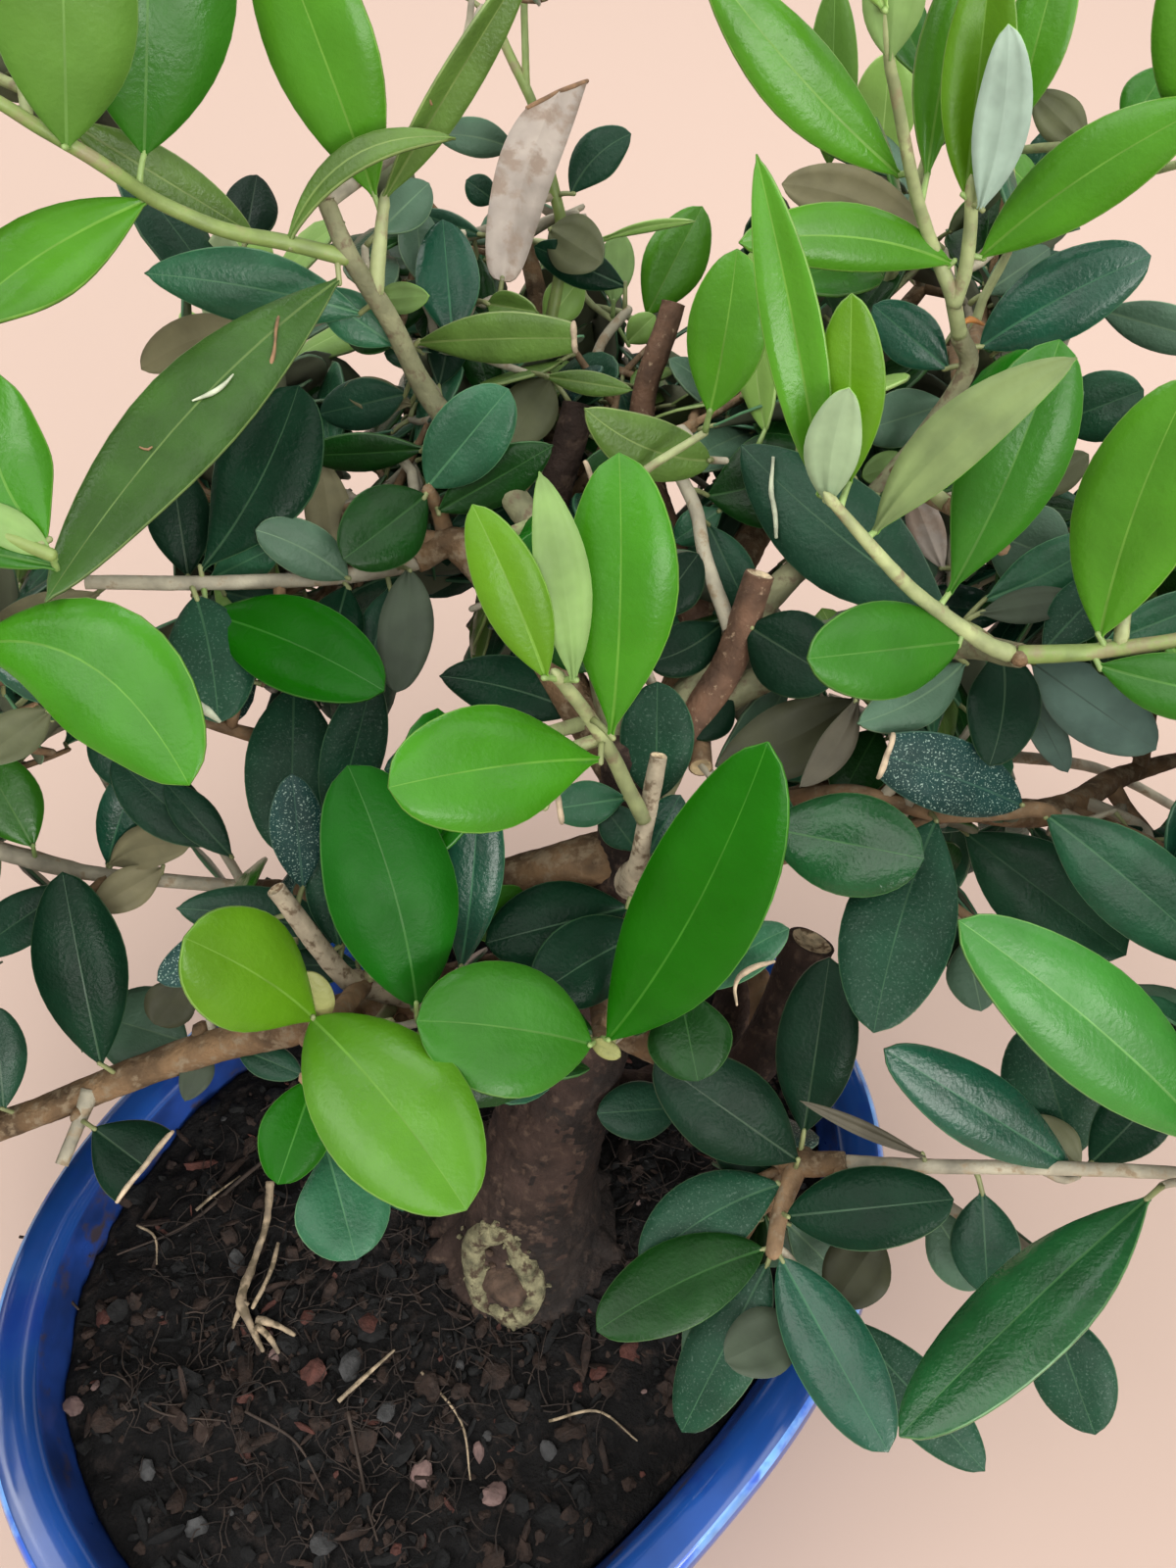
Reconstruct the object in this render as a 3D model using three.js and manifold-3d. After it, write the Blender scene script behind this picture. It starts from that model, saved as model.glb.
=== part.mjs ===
// Olive bonsai in an oval glazed pot. Millimetres, +Z up.
// Origin: centre of the pot's flat underside. +Y runs from the side the plant is
// looked at towards its back, +X to the right of that view.
import * as THREE from 'three';
import { mergeVertices } from 'three/addons/utils/BufferGeometryUtils.js';
import Module from 'manifold-3d';

const wasm = await Module();
wasm.setup();

// ---------------------------------------------------------------- sizes
const POT = {
  a: 78.6,          // half length of the oval, outside of the lip
  b: 62.7,          // half width of the oval, outside of the lip
  power: 2.37,      // the oval is a little squarer than an ellipse
  yaw: 44,          // the long axis, turned from +X towards +Y, degrees
  height: 52,
  floor: 6,         // thickness of the pot's floor
  segments: 40,
};
const SOIL = { top: 43.2, gap: 0.35, trunkPad: 19 };
const TRUNK = { sides: 12, rows: 12, foot: 44.0, footRadius: 17.5 };
const GAP = 0.35;   // clearance between touching pieces
const MASS_DETAIL = 3;

// profile of the pot: [offset from the lip's outside, height]
const POT_OUTSIDE = [[-16.2, 0], [-15.4, 4.2], [-13.2, 6.4], [-7.6, 22], [-4.6, 42.8],
  [-0.8, 44.8], [0, 48], [-1.1, 51.3], [-2.8, POT.height]];
const POT_INSIDE = [[-6.2, POT.height], [-8.3, 50.6], [-9.6, SOIL.top], [-13.2, 18], [-20, POT.floor]];

// limbs: points from foot to tip, with the radius at each point
const LIMBS = {
  trunk: { pts: [[11.5, 1.5, TRUNK.foot], [11.8, 2.0, 50], [13.8, 4.4, 62], [17.4, 9.2, 78], [22, 16, 94],
    [26.4, 22.6, 108], [28.4, 27.4, 122], [27.2, 33, 136]],
    r: [TRUNK.footRadius, 12.6, 9.8, 8.4, 7.4, 6.3, 5.0, 3.6] },
  bough_left_low: { pts: [[24.5, 19.5, 101], [8, 17, 103], [-12, 14.6, 97.5], [-39, 14, 85], [-69, 5, 78], [-86, 1, 76]],
    r: [3.9, 3.4, 3.0, 2.5, 2.1, 1.9] },
  bough_left_mid: { pts: [[28, 27, 121], [12, 24.6, 118], [-10, 23, 114], [-34, 30, 112], [-52, 38, 112]],
    r: [3.8, 3.2, 2.8, 2.3, 1.9] },
  bough_left_high: { pts: [[27.5, 31, 131], [16, 46, 142], [4, 58, 148.5], [-16, 56, 151]],
    r: [3.1, 2.7, 2.6, 1.8] },
  bough_top_left: { pts: [[27.4, 33, 135], [22, 47, 148], [9, 64, 158], [1, 72, 163], [-8, 74, 183], [-14, 71, 192]],
    r: [2.9, 2.4, 2.1, 1.9, 1.7, 1.3] },
  bough_back: { pts: [[28, 30, 126], [25, 54, 134], [18, 84, 138], [15, 112, 148]],
    r: [3.7, 3.1, 2.6, 2.0] },
  bough_back_right: { pts: [[28.6, 28.5, 124], [37, 52, 131], [52, 84, 138], [68, 108, 146]],
    r: [3.4, 2.9, 2.4, 1.8] },
  bough_top_right: { pts: [[28, 32, 133], [45, 49, 146], [61, 61, 157], [71, 69, 168], [66, 67, 184]],
    r: [2.9, 2.5, 2.1, 1.9, 1.5] },
  bough_right: { pts: [[28.4, 27, 118], [45, 34, 121], [63.5, 39, 120.7], [89, 38, 115], [108, 52, 106]],
    r: [3.6, 3.0, 2.5, 2.1, 1.8] },
  bough_right_high: { pts: [[28.6, 28, 124], [36, 38, 134], [46, 34, 146], [62, 28, 155]],
    r: [3.0, 2.6, 2.1, 1.7] },
  bough_right_low: { pts: [[22.5, 16, 95], [38, 7, 95], [56, -5, 90], [74, -8, 92]],
    r: [3.6, 2.9, 2.5, 1.7] },
  stub_right_thick: { pts: [[18, 9.5, 79], [34, 11, 76], [48, 14, 81], [55.6, 24, 101]],
    r: [4.6, 4.0, 3.7, 3.5] },
  stub_left: { pts: [[-3, 15.6, 100.5], [-9, 12.6, 110], [-14.5, 12.5, 121]],
    r: [2.2, 1.7, 1.5] },
  stub_centre: { pts: [[28.4, 24, 118], [29.3, 19.5, 127], [32.4, 22, 138.5]],
    r: [3.0, 2.5, 1.5] },
  stub_right_up: { pts: [[28.6, 30, 128], [38, 40, 137.5], [41.5, 44, 142], [44.5, 49, 152]],
    r: [2.7, 2.4, 2.3, 2.1] },
  stub_back: { pts: [[25.6, 52, 134.5], [16.6, 68, 141], [20.8, 82, 154.5]],
    r: [2.6, 2.3, 2.0] },
  stub_back_right: { pts: [[39, 57, 132.5], [30.5, 88, 145], [35, 100, 160]],
    r: [2.6, 2.3, 2.0] },
};
// leaf masses: centre, half sizes, turn about Z, lean about the turned X, seed
const MASSES = {
  leaves_top_left: { c: [-30, 66, 197], s: [38, 28, 27], turn: -8, lean: -18, seed: 11 },
  leaves_left_high: { c: [-42, 28, 166], s: [34, 29, 30], turn: 12, lean: 10, seed: 12 },
  leaves_left_mid: { c: [-12, 62, 152], s: [36, 30, 24], turn: 8, lean: -10, seed: 13 },
  leaves_centre_front: { c: [15, 7, 158], s: [33, 23, 30], turn: -14, lean: -12, seed: 14 },
  leaves_front_left: { c: [-11, -9, 126], s: [30, 22, 18], turn: 18, lean: 8, seed: 15 },
  leaves_left_low: { c: [-86, 6, 86], s: [25, 26, 23], turn: 0, lean: 0, seed: 16, coarse: true },
  leaves_left_far: { c: [-68, 46, 114], s: [34, 30, 27], turn: 10, lean: 6, seed: 17 },
  leaves_back_left: { c: [-36, 90, 128], s: [35, 31, 29], turn: -20, lean: 0, seed: 18, coarse: true },
  leaves_back_high: { c: [14, 102, 174], s: [34, 30, 31], turn: 0, lean: -14, seed: 19 },
  leaves_back: { c: [20, 104, 124], s: [36, 29, 26], turn: 5, lean: 0, seed: 20, coarse: true },
  leaves_back_right: { c: [74, 102, 144], s: [34, 31, 30], turn: 24, lean: 0, seed: 21 },
  leaves_top_right: { c: [62, 62, 205], s: [36, 28, 34], turn: 10, lean: -16, seed: 22 },
  leaves_right_high: { c: [66, 24, 174], s: [34, 24, 32], turn: -8, lean: -10, seed: 23 },
  leaves_right_back: { c: [112, 74, 138], s: [31, 33, 30], turn: 0, lean: 0, seed: 24, coarse: true },
  leaves_right_far: { c: [114, 42, 99], s: [31, 31, 26], turn: -12, lean: 6, seed: 25, coarse: true },
  leaves_right_mid: { c: [80, 22, 125], s: [29, 24, 24], turn: 6, lean: 4, seed: 26 },
  leaves_right_front: { c: [104, -4, 138], s: [30, 25, 23], turn: 16, lean: 0, seed: 27 },
  leaves_right_low: { c: [66, -22, 93], s: [39, 25, 25], turn: -8, lean: 12, seed: 28 },
  leaves_core: { c: [38, 66, 146], s: [27, 29, 22], turn: 20, lean: 0, seed: 29, coarse: true },
};

const COLOURS = {
  pot: 0x19489c, soil: 0x2a211d, bark: 0x7a6350, stub: 0x9a8670,
  young: 0x4f9a1c, old: 0x27493c,
};

// ---------------------------------------------------------------- helpers
const rad = (d) => (d * Math.PI) / 180;

function noise(seed) {
  let s = (seed * 2654435761) >>> 0;
  return () => {
    s = (s + 0x6d2b79f5) >>> 0;
    let t = s;
    t = Math.imul(t ^ (t >>> 15), t | 1);
    t ^= t + Math.imul(t ^ (t >>> 7), t | 61);
    return ((t ^ (t >>> 14)) >>> 0) / 4294967296;
  };
}

// a closed body: shared corners merged, slivers of no area dropped
function closed(geometry) {
  let g = geometry.clone();
  for (const name of Object.keys(g.attributes)) if (name !== 'position') g.deleteAttribute(name);
  g = mergeVertices(g, 1e-4);
  const index = g.index.array, keep = [];
  for (let i = 0; i < index.length; i += 3) {
    const [a, b, c] = [index[i], index[i + 1], index[i + 2]];
    if (a !== b && b !== c && c !== a) keep.push(a, b, c);
  }
  g.setIndex(keep);
  return g;
}

function toSolid(geometry) {
  const g = closed(geometry);
  return new wasm.Manifold(new wasm.Mesh({
    numProp: 3,
    vertProperties: new Float32Array(g.attributes.position.array),
    triVerts: new Uint32Array(g.index.array),
  }));
}

function toGeometry(solid) {
  const m = solid.getMesh();
  const g = new THREE.BufferGeometry();
  const p = new Float32Array(m.numVert * 3);
  for (let i = 0; i < m.numVert; i++) for (let k = 0; k < 3; k++) p[3 * i + k] = m.vertProperties[i * m.numProp + k];
  g.setAttribute('position', new THREE.BufferAttribute(p, 3));
  g.setIndex(new THREE.BufferAttribute(new Uint32Array(m.triVerts), 1));
  g.computeVertexNormals();
  return g;
}

// the largest of the separate pieces a cut leaves
function mainPiece(solid) {
  const parts = solid.decompose();
  parts.sort((a, b) => b.volume() - a.volume());
  return parts[0];
}

// a point of the pot's oval at half length r and turn t
function oval(r, t) {
  const inset = POT.a - POT.b;
  const w = r > 40 ? r - inset : (r * (40 - inset)) / 40;
  const k = 2 / POT.power;
  const c = Math.cos(t), s = Math.sin(t);
  return [r * Math.sign(c) * Math.abs(c) ** k, w * Math.sign(s) * Math.abs(s) ** k];
}

// a turned profile [half length, height], pulled out into the oval
function ovalBody(profile) {
  const g = new THREE.LatheGeometry(profile.map(([r, z]) => new THREE.Vector2(Math.max(r, 0), z)), POT.segments);
  g.rotateX(Math.PI / 2);
  const p = g.attributes.position;
  for (let i = 0; i < p.count; i++) {
    const x = p.getX(i), y = p.getY(i), r = Math.hypot(x, y);
    if (r < 1e-6) { p.setXY(i, 0, 0); continue; }
    const [u, v] = oval(r, Math.atan2(y, x));
    p.setXY(i, u, v);
  }
  const g2 = closed(g);
  const solid = toSolid(g2);
  if (solid.volume() < 0) throw new Error('profile turns the wrong way');
  return g2;
}

// one tapering limb: a capped cylinder bent along a smooth curve
function limb({ pts, r }, { sides = 8, rows = 10, grow = 0, flat = false, flare = 0, knots = 0.05, seed = 1 } = {}) {
  const curve = new THREE.CatmullRomCurve3(pts.map((p) => new THREE.Vector3(...p)), false, 'centripetal');
  const cum = [0];
  for (let i = 1; i < pts.length; i++) cum.push(cum[i - 1] + new THREE.Vector3(...pts[i]).distanceTo(new THREE.Vector3(...pts[i - 1])));
  const total = cum[cum.length - 1];
  const radiusAt = (u) => {
    const d = u * total;
    let i = 0;
    while (i < r.length - 2 && d > cum[i + 1]) i++;
    const t = Math.min(Math.max((d - cum[i]) / (cum[i + 1] - cum[i]), 0), 1);
    return r[i] + (r[i + 1] - r[i]) * t * t * (3 - 2 * t);
  };
  const frames = curve.computeFrenetFrames(rows, false);
  const random = noise(seed);
  const phase = [random() * 6.28, random() * 6.28, random() * 6.28];
  const g = new THREE.CylinderGeometry(1, 1, 1, sides, rows);
  const p = g.attributes.position;
  for (let i = 0; i < p.count; i++) {
    const u = p.getY(i) + 0.5;
    const row = Math.round(u * rows);
    const at = curve.getPointAt(row / rows);
    const x = p.getX(i), z = p.getZ(i), off = Math.hypot(x, z);
    const angle = Math.atan2(z, x);
    let radius = radiusAt(row / rows);
    radius *= 1 + knots * Math.sin(2 * angle + phase[0] + 5 * u) + knots * 0.6 * Math.sin(3 * angle + phase[1] - 9 * u);
    if (flare) radius *= 1 + flare * Math.max(0, 1 - u * 4.5) * (0.5 + 0.5 * Math.cos(5 * angle + phase[2]));
    radius += grow;
    const v = at.clone();
    if (off > 1e-6) v.addScaledVector(frames.normals[row], radius * Math.cos(angle)).addScaledVector(frames.binormals[row], radius * Math.sin(angle));
    if (flat && row === 0) v.z = at.z;
    p.setXYZ(i, v.x, v.y, v.z);
  }
  const g2 = closed(g);
  if (toSolid(g2).volume() < 0) {
    const index = Array.from(g2.index.array);
    for (let i = 0; i < index.length; i += 3) [index[i + 1], index[i + 2]] = [index[i + 2], index[i + 1]];
    g2.setIndex(index);
  }
  return g2;
}

// ---------------------------------------------------------------- pot and soil
const potProfile = [[0, 0], ...POT_OUTSIDE.map(([d, z]) => [POT.a + d, z]),
  ...POT_INSIDE.map(([d, z]) => [POT.a + d, z]), [0, POT.floor]];
const potGeometry = ovalBody(potProfile);

// the soil fills the pot's inside up to its top, a low uneven ground
function soilGeometry() {
  const wall = POT_INSIDE.slice(2).reverse();           // floor edge, side, soil line
  const side = [];
  for (const [d, z] of wall) side.push([POT.a + d - SOIL.gap - 0.15, z === POT.floor ? POT.floor + SOIL.gap : z - SOIL.gap]);
  const rim = side[side.length - 1][0];
  const rings = [0.88, 0.7, 0.5, 0.3, 0.12];
  const profile = [[0, POT.floor + SOIL.gap], ...side, ...rings.map((k) => [rim * k, SOIL.top]), [0, SOIL.top]];
  const g = ovalBody(profile);
  const p = g.attributes.position;
  const yaw = rad(POT.yaw), [tx, ty] = LIMBS.trunk.pts[0];
  const footX = tx * Math.cos(yaw) + ty * Math.sin(yaw), footY = -tx * Math.sin(yaw) + ty * Math.cos(yaw);
  for (let i = 0; i < p.count; i++) {
    if (p.getZ(i) < SOIL.top - 0.2) continue;
    const x = p.getX(i), y = p.getY(i);
    const away = Math.hypot(x - footX, y - footY);
    const rise = Math.max(0, 1 - away / 46) * 2.2;
    const uneven = 0.8 * Math.sin(x * 0.16 + 1.1) * Math.cos(y * 0.19) + 0.6 * Math.sin((x + y) * 0.27);
    const pad = THREE.MathUtils.smoothstep(away, SOIL.trunkPad + 1, SOIL.trunkPad + 14);
    p.setZ(i, SOIL.top + (rise * 0.4 + uneven - 0.9) * pad);
  }
  return g;
}

// ---------------------------------------------------------------- limbs
const limbOptions = (name, grow = 0) => (name === 'trunk'
  ? { sides: TRUNK.sides, rows: TRUNK.rows, flat: true, flare: 0.32, knots: 0.045, seed: 3, grow }
  : { sides: name.startsWith('stub') ? 7 : 6, rows: name.startsWith('stub') ? 5 : 8, knots: 0.06, seed: name.length, grow });
const makeLimb = (name, grow = 0) => toSolid(limb(LIMBS[name], limbOptions(name, grow)));

const solids = {};
const order = Object.keys(LIMBS);
for (const name of order) {
  let s = makeLimb(name);
  for (const earlier of order) {
    if (earlier === name) break;
    s = s.subtract(makeLimb(earlier, GAP));
  }
  solids[name] = name === 'trunk' ? s : mainPiece(s);
}

// ---------------------------------------------------------------- leaf masses
// Each mass is an uneven ball drawn out to its half sizes. Where two would meet,
// a plane between them holds both back, so each keeps its own room.
function massMatrix({ turn, lean }) {
  return new THREE.Matrix4().makeRotationZ(rad(turn)).multiply(new THREE.Matrix4().makeRotationX(rad(lean)));
}
function reach(mass, dir) {                       // length of the plain ball along dir
  const d = dir.clone().applyMatrix4(massMatrix(mass).invert());
  return 1 / Math.hypot(d.x / mass.s[0], d.y / mass.s[1], d.z / mass.s[2]);
}
const massNames = Object.keys(MASSES);
const planes = {};
for (const a of massNames) {
  planes[a] = [];
  for (const b of massNames) {
    if (a === b) continue;
    const ca = new THREE.Vector3(...MASSES[a].c), cb = new THREE.Vector3(...MASSES[b].c);
    const dir = cb.clone().sub(ca), gap = dir.length();
    dir.normalize();
    const ra = reach(MASSES[a], dir), rb = reach(MASSES[b], dir.clone().negate());
    const at = (gap * ra) / (ra + rb);
    planes[a].push([dir, at - GAP / 2 - 0.2]);
  }
}
function massGeometry(name) {
  const mass = MASSES[name], random = noise(mass.seed);
  const lumps = [];
  for (let i = 0; i < 9; i++) {
    const z = random() * 2 - 1, t = random() * Math.PI * 2, q = Math.sqrt(1 - z * z);
    lumps.push([new THREE.Vector3(q * Math.cos(t), q * Math.sin(t), z), 0.07 + 0.13 * random(), 3 + 5 * random()]);
  }
  const g = new THREE.IcosahedronGeometry(1, mass.coarse ? 2 : MASS_DETAIL);
  const p = g.attributes.position, c = new THREE.Vector3(...mass.c);
  for (let i = 0; i < p.count; i++) {
    const dir = new THREE.Vector3().fromBufferAttribute(p, i).normalize();
    let k = 0.86;
    for (const [axis, height, sharp] of lumps) k += height * Math.exp(sharp * (dir.dot(axis) - 1));
    let r = reach(mass, dir) * Math.min(k, 1.12);
    for (const [n, at] of planes[name]) {
      const along = dir.dot(n);
      if (along > 1e-3) r = Math.min(r, at / along);
    }
    p.setXYZ(i, c.x + dir.x * r, c.y + dir.y * r, c.z + dir.z * r);
  }
  return closed(g);
}
const masses = {};
for (const name of massNames) masses[name] = toSolid(massGeometry(name));

// the trunk and the cut stubs stay whole, with the masses cut round them;
// a bough ends where it enters a mass
for (const name of massNames) {
  let s = masses[name];
  for (const l of order) if (l === 'trunk' || l.startsWith('stub')) s = s.subtract(makeLimb(l, GAP));
  masses[name] = mainPiece(s);
}
for (const l of order) {
  if (l === 'trunk' || l.startsWith('stub')) continue;
  const full = solids[l];
  let s = full;
  for (const name of massNames) {
    const grown = massGeometry(name), c = MASSES[name].c, p = grown.attributes.position;
    for (let i = 0; i < p.count; i++) {
      const d = new THREE.Vector3(p.getX(i) - c[0], p.getY(i) - c[1], p.getZ(i) - c[2]);
      d.setLength(d.length() + GAP * 1.6);
      p.setXYZ(i, c[0] + d.x, c[1] + d.y, c[2] + d.z);
    }
    s = s.subtract(toSolid(grown));
  }
  // keep the piece that joins the tree
  const foot = new THREE.Vector3(...LIMBS[l].pts[0]);
  const pieces = s.decompose();
  pieces.sort((a, b) => nearest(a, foot) - nearest(b, foot));
  solids[l] = pieces[0];
}
function nearest(solid, point) {
  const m = solid.getMesh();
  let best = Infinity;
  for (let i = 0; i < m.numVert; i++) {
    const d = Math.hypot(m.vertProperties[i * m.numProp] - point.x, m.vertProperties[i * m.numProp + 1] - point.y, m.vertProperties[i * m.numProp + 2] - point.z);
    if (d < best) best = d;
  }
  return best;
}

// ---------------------------------------------------------------- the object
const material = (color, roughness) => new THREE.MeshStandardMaterial({ color, roughness, metalness: 0 });
const plant = new THREE.Group();
function put(name, geometry, mat, parent = plant) {
  const mesh = new THREE.Mesh(geometry, mat);
  mesh.name = name;
  parent.add(mesh);
  return mesh;
}
const potGroup = new THREE.Group();
potGroup.rotation.z = rad(POT.yaw);
plant.add(potGroup);
put('pot', potGeometry, material(COLOURS.pot, 0.18), potGroup);
put('soil', soilGeometry(), material(COLOURS.soil, 0.95), potGroup);
for (const name of order) {
  put(name, toGeometry(solids[name]), material(name.startsWith('stub') ? COLOURS.stub : COLOURS.bark, 0.85));
}
const YOUNG = ['leaves_top_left', 'leaves_left_high', 'leaves_centre_front', 'leaves_front_left', 'leaves_top_right',
  'leaves_right_high', 'leaves_right_front'];
for (const name of massNames) {
  put(name, toGeometry(masses[name]), material(YOUNG.includes(name) ? COLOURS.young : COLOURS.old, 0.5));
}

export default plant;
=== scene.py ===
import math
import bpy
import mathutils
import numpy as np
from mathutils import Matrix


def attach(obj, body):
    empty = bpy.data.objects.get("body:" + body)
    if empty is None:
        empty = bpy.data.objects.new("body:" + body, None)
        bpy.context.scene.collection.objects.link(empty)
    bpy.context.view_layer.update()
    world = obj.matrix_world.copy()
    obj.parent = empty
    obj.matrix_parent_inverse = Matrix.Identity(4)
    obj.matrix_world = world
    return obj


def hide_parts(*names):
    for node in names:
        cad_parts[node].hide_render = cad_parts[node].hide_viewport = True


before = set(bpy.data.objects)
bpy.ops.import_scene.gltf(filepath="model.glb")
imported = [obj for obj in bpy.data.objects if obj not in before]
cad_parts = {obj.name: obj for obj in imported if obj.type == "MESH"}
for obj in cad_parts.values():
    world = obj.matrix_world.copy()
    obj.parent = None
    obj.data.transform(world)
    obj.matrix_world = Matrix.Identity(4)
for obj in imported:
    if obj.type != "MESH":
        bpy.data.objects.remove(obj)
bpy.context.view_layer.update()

MM = 0.001
rng = np.random.default_rng(20471)


def unit(v):
    v = np.asarray(v, float)
    return v / max(np.linalg.norm(v), 1e-12)


# ---------------------------------------------------------------- the view
# The tree is seen from the front, from above. A point of the view is given by
# its place in the 1200 x 1600 frame and its depth in millimetres.
PITCH, FOCAL = math.radians(52), 1250.0
CAM = np.array([22.2, -70.5, 260.9])
FWD = np.array([0, math.cos(PITCH), -math.sin(PITCH)])
RIGHT = np.array([1.0, 0, 0])
UP = np.array([0, math.sin(PITCH), math.cos(PITCH)])


def W(x, y, d):
    return CAM + d * (FWD + RIGHT * (x - 600) / FOCAL + UP * (800 - y) / FOCAL)


def PX(p):
    r = np.atleast_2d(p) - CAM
    d = np.maximum(r @ FWD, 1.0)
    return np.stack([600 + FOCAL * (r @ RIGHT) / d, 800 - FOCAL * (r @ UP) / d, r @ FWD], 1)


def held(x, y, d):
    """A depth at which this place of the view is still inside the object's room."""
    return min(d, (137.0 - CAM[1]) / (FWD[1] + UP[1] * (800 - y) / FOCAL)) if y < 800 else d


cam_data = bpy.data.cameras.new("camera")
cam_data.lens = 36 * FOCAL / 1600
cam_data.sensor_width = 36
cam_data.clip_start, cam_data.clip_end = 0.01, 20
cam = bpy.data.objects.new("camera", cam_data)
bpy.context.scene.collection.objects.link(cam)
cam.location = CAM * MM
cam.rotation_euler = (math.pi / 2 - PITCH, 0, 0)
bpy.context.scene.camera = cam


# ---------------------------------------------------------------- noise
def vnoise(p, seed=0):
    p = np.asarray(p, float)
    i = np.floor(p).astype(np.int64)
    f = p - i
    f = f * f * (3 - 2 * f)

    def h(dx, dy, dz):
        n = ((i[..., 0] + dx) * 374761393 + (i[..., 1] + dy) * 668265263 + (i[..., 2] + dz) * 1440662683 + seed * 974711) & 0xFFFFFFFF
        n = ((n ^ (n >> 13)) * 1274126177) & 0xFFFFFFFF
        return ((n ^ (n >> 16)) & 0xFFFF) / 32767.5 - 1

    x, y, z = f[..., 0], f[..., 1], f[..., 2]
    a = h(0, 0, 0) * (1 - x) + h(1, 0, 0) * x
    b = h(0, 1, 0) * (1 - x) + h(1, 1, 0) * x
    c = h(0, 0, 1) * (1 - x) + h(1, 0, 1) * x
    d = h(0, 1, 1) * (1 - x) + h(1, 1, 1) * x
    return (a * (1 - y) + b * y) * (1 - z) + (c * (1 - y) + d * y) * z


def fbm(p, octaves=3, seed=0):
    out, amp, p = 0, 1.0, np.asarray(p, float)
    for k in range(octaves):
        out = out + amp * vnoise(p * 2.03 ** k + 7.7 * k, seed + k)
        amp *= 0.5
    return out / (2 - 2 ** (1 - octaves))


# ---------------------------------------------------------------- meshes
class Build:
    """Collects points and faces of many small bodies, then makes one mesh."""

    def __init__(self):
        self.v, self.loops, self.sizes, self.mats, self.n = [], [], [], [], 0

    def add(self, v, loops, sizes, mats):
        self.v.append(np.asarray(v, float).reshape(-1, 3))
        self.loops.append(np.asarray(loops, np.int64) + self.n)
        self.sizes.append(np.asarray(sizes, np.int64))
        self.mats.append(np.broadcast_to(np.asarray(mats, np.int64), (len(sizes),)).copy())
        self.n += len(self.v[-1])

    def tris(self):
        return int(sum((s - 2).sum() for s in self.sizes))

    def make(self, name, mats, slot=None, nodes=(), smooth=True):
        if not self.v:
            return None
        v = np.concatenate(self.v) * MM
        loops, sizes = np.concatenate(self.loops), np.concatenate(self.sizes)
        me = bpy.data.meshes.new(name)
        me.vertices.add(len(v))
        me.vertices.foreach_set("co", v.astype(np.float32).ravel())
        me.loops.add(len(loops))
        me.loops.foreach_set("vertex_index", loops.astype(np.int32))
        me.polygons.add(len(sizes))
        start = np.concatenate([[0], np.cumsum(sizes)[:-1]])
        me.polygons.foreach_set("loop_start", start.astype(np.int32))
        for m in mats:
            me.materials.append(m)
        me.polygons.foreach_set("material_index", np.concatenate(self.mats).astype(np.int32))
        me.update(calc_edges=True)
        me.validate()
        me.polygons.foreach_set("use_smooth", np.full(len(me.polygons), smooth))
        me.update()
        ob = bpy.data.objects.new(name, me)
        bpy.context.scene.collection.objects.link(ob)
        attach(ob, "root")
        if nodes:
            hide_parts(*nodes)
        return ob


def smooth_line(pts, n=None, step=1.0):
    """Points along a Catmull-Rom line through pts, evenly spaced, with their place 0..1 among pts."""
    pts = np.asarray(pts, float)
    if len(pts) == 2:
        pts = np.array([pts[0], (2 * pts[0] + pts[1]) / 3, (pts[0] + 2 * pts[1]) / 3, pts[1]])
        scale = np.array([0, 1 / 3, 2 / 3, 1.0])
    else:
        scale = np.arange(len(pts)) / (len(pts) - 1)
    ext = np.vstack([2 * pts[0] - pts[1], pts, 2 * pts[-1] - pts[-2]])
    out, par = [], []
    for i in range(len(pts) - 1):
        p0, p1, p2, p3 = ext[i], ext[i + 1], ext[i + 2], ext[i + 3]
        t = np.linspace(0, 1, 17)[:-1][:, None]
        out.append(0.5 * ((2 * p1) + (p2 - p0) * t + (2 * p0 - 5 * p1 + 4 * p2 - p3) * t ** 2 + (3 * p1 - p0 - 3 * p2 + p3) * t ** 3))
        par.append(scale[i] + (scale[i + 1] - scale[i]) * t[:, 0])
    out = np.vstack(out + [pts[-1:]])
    par = np.concatenate(par + [[1.0]])
    d = np.concatenate([[0], np.cumsum(np.linalg.norm(np.diff(out, axis=0), axis=1))])
    if n is None:
        n = max(3, int(math.ceil(d[-1] / step)) + 1)
    s = np.linspace(0, d[-1], n)
    line = np.stack([np.interp(s, d, out[:, k]) for k in range(3)], 1)
    return line, np.interp(s, d, par), s


def frames(line, ref=None):
    t = np.gradient(line, axis=0)
    t /= np.maximum(np.linalg.norm(t, axis=1), 1e-9)[:, None]
    ref = np.array([0.3, -0.9, 0.2]) if ref is None else ref
    n = np.empty_like(t)
    a = ref - t[0] * (ref @ t[0])
    if np.linalg.norm(a) < 1e-3:
        a = np.array([1.0, 0, 0]) - t[0] * t[0][0]
    n[0] = unit(a)
    for i in range(1, len(t)):
        a = n[i - 1] - t[i] * (n[i - 1] @ t[i])
        n[i] = unit(a)
    return t, n, np.cross(t, n)


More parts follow.
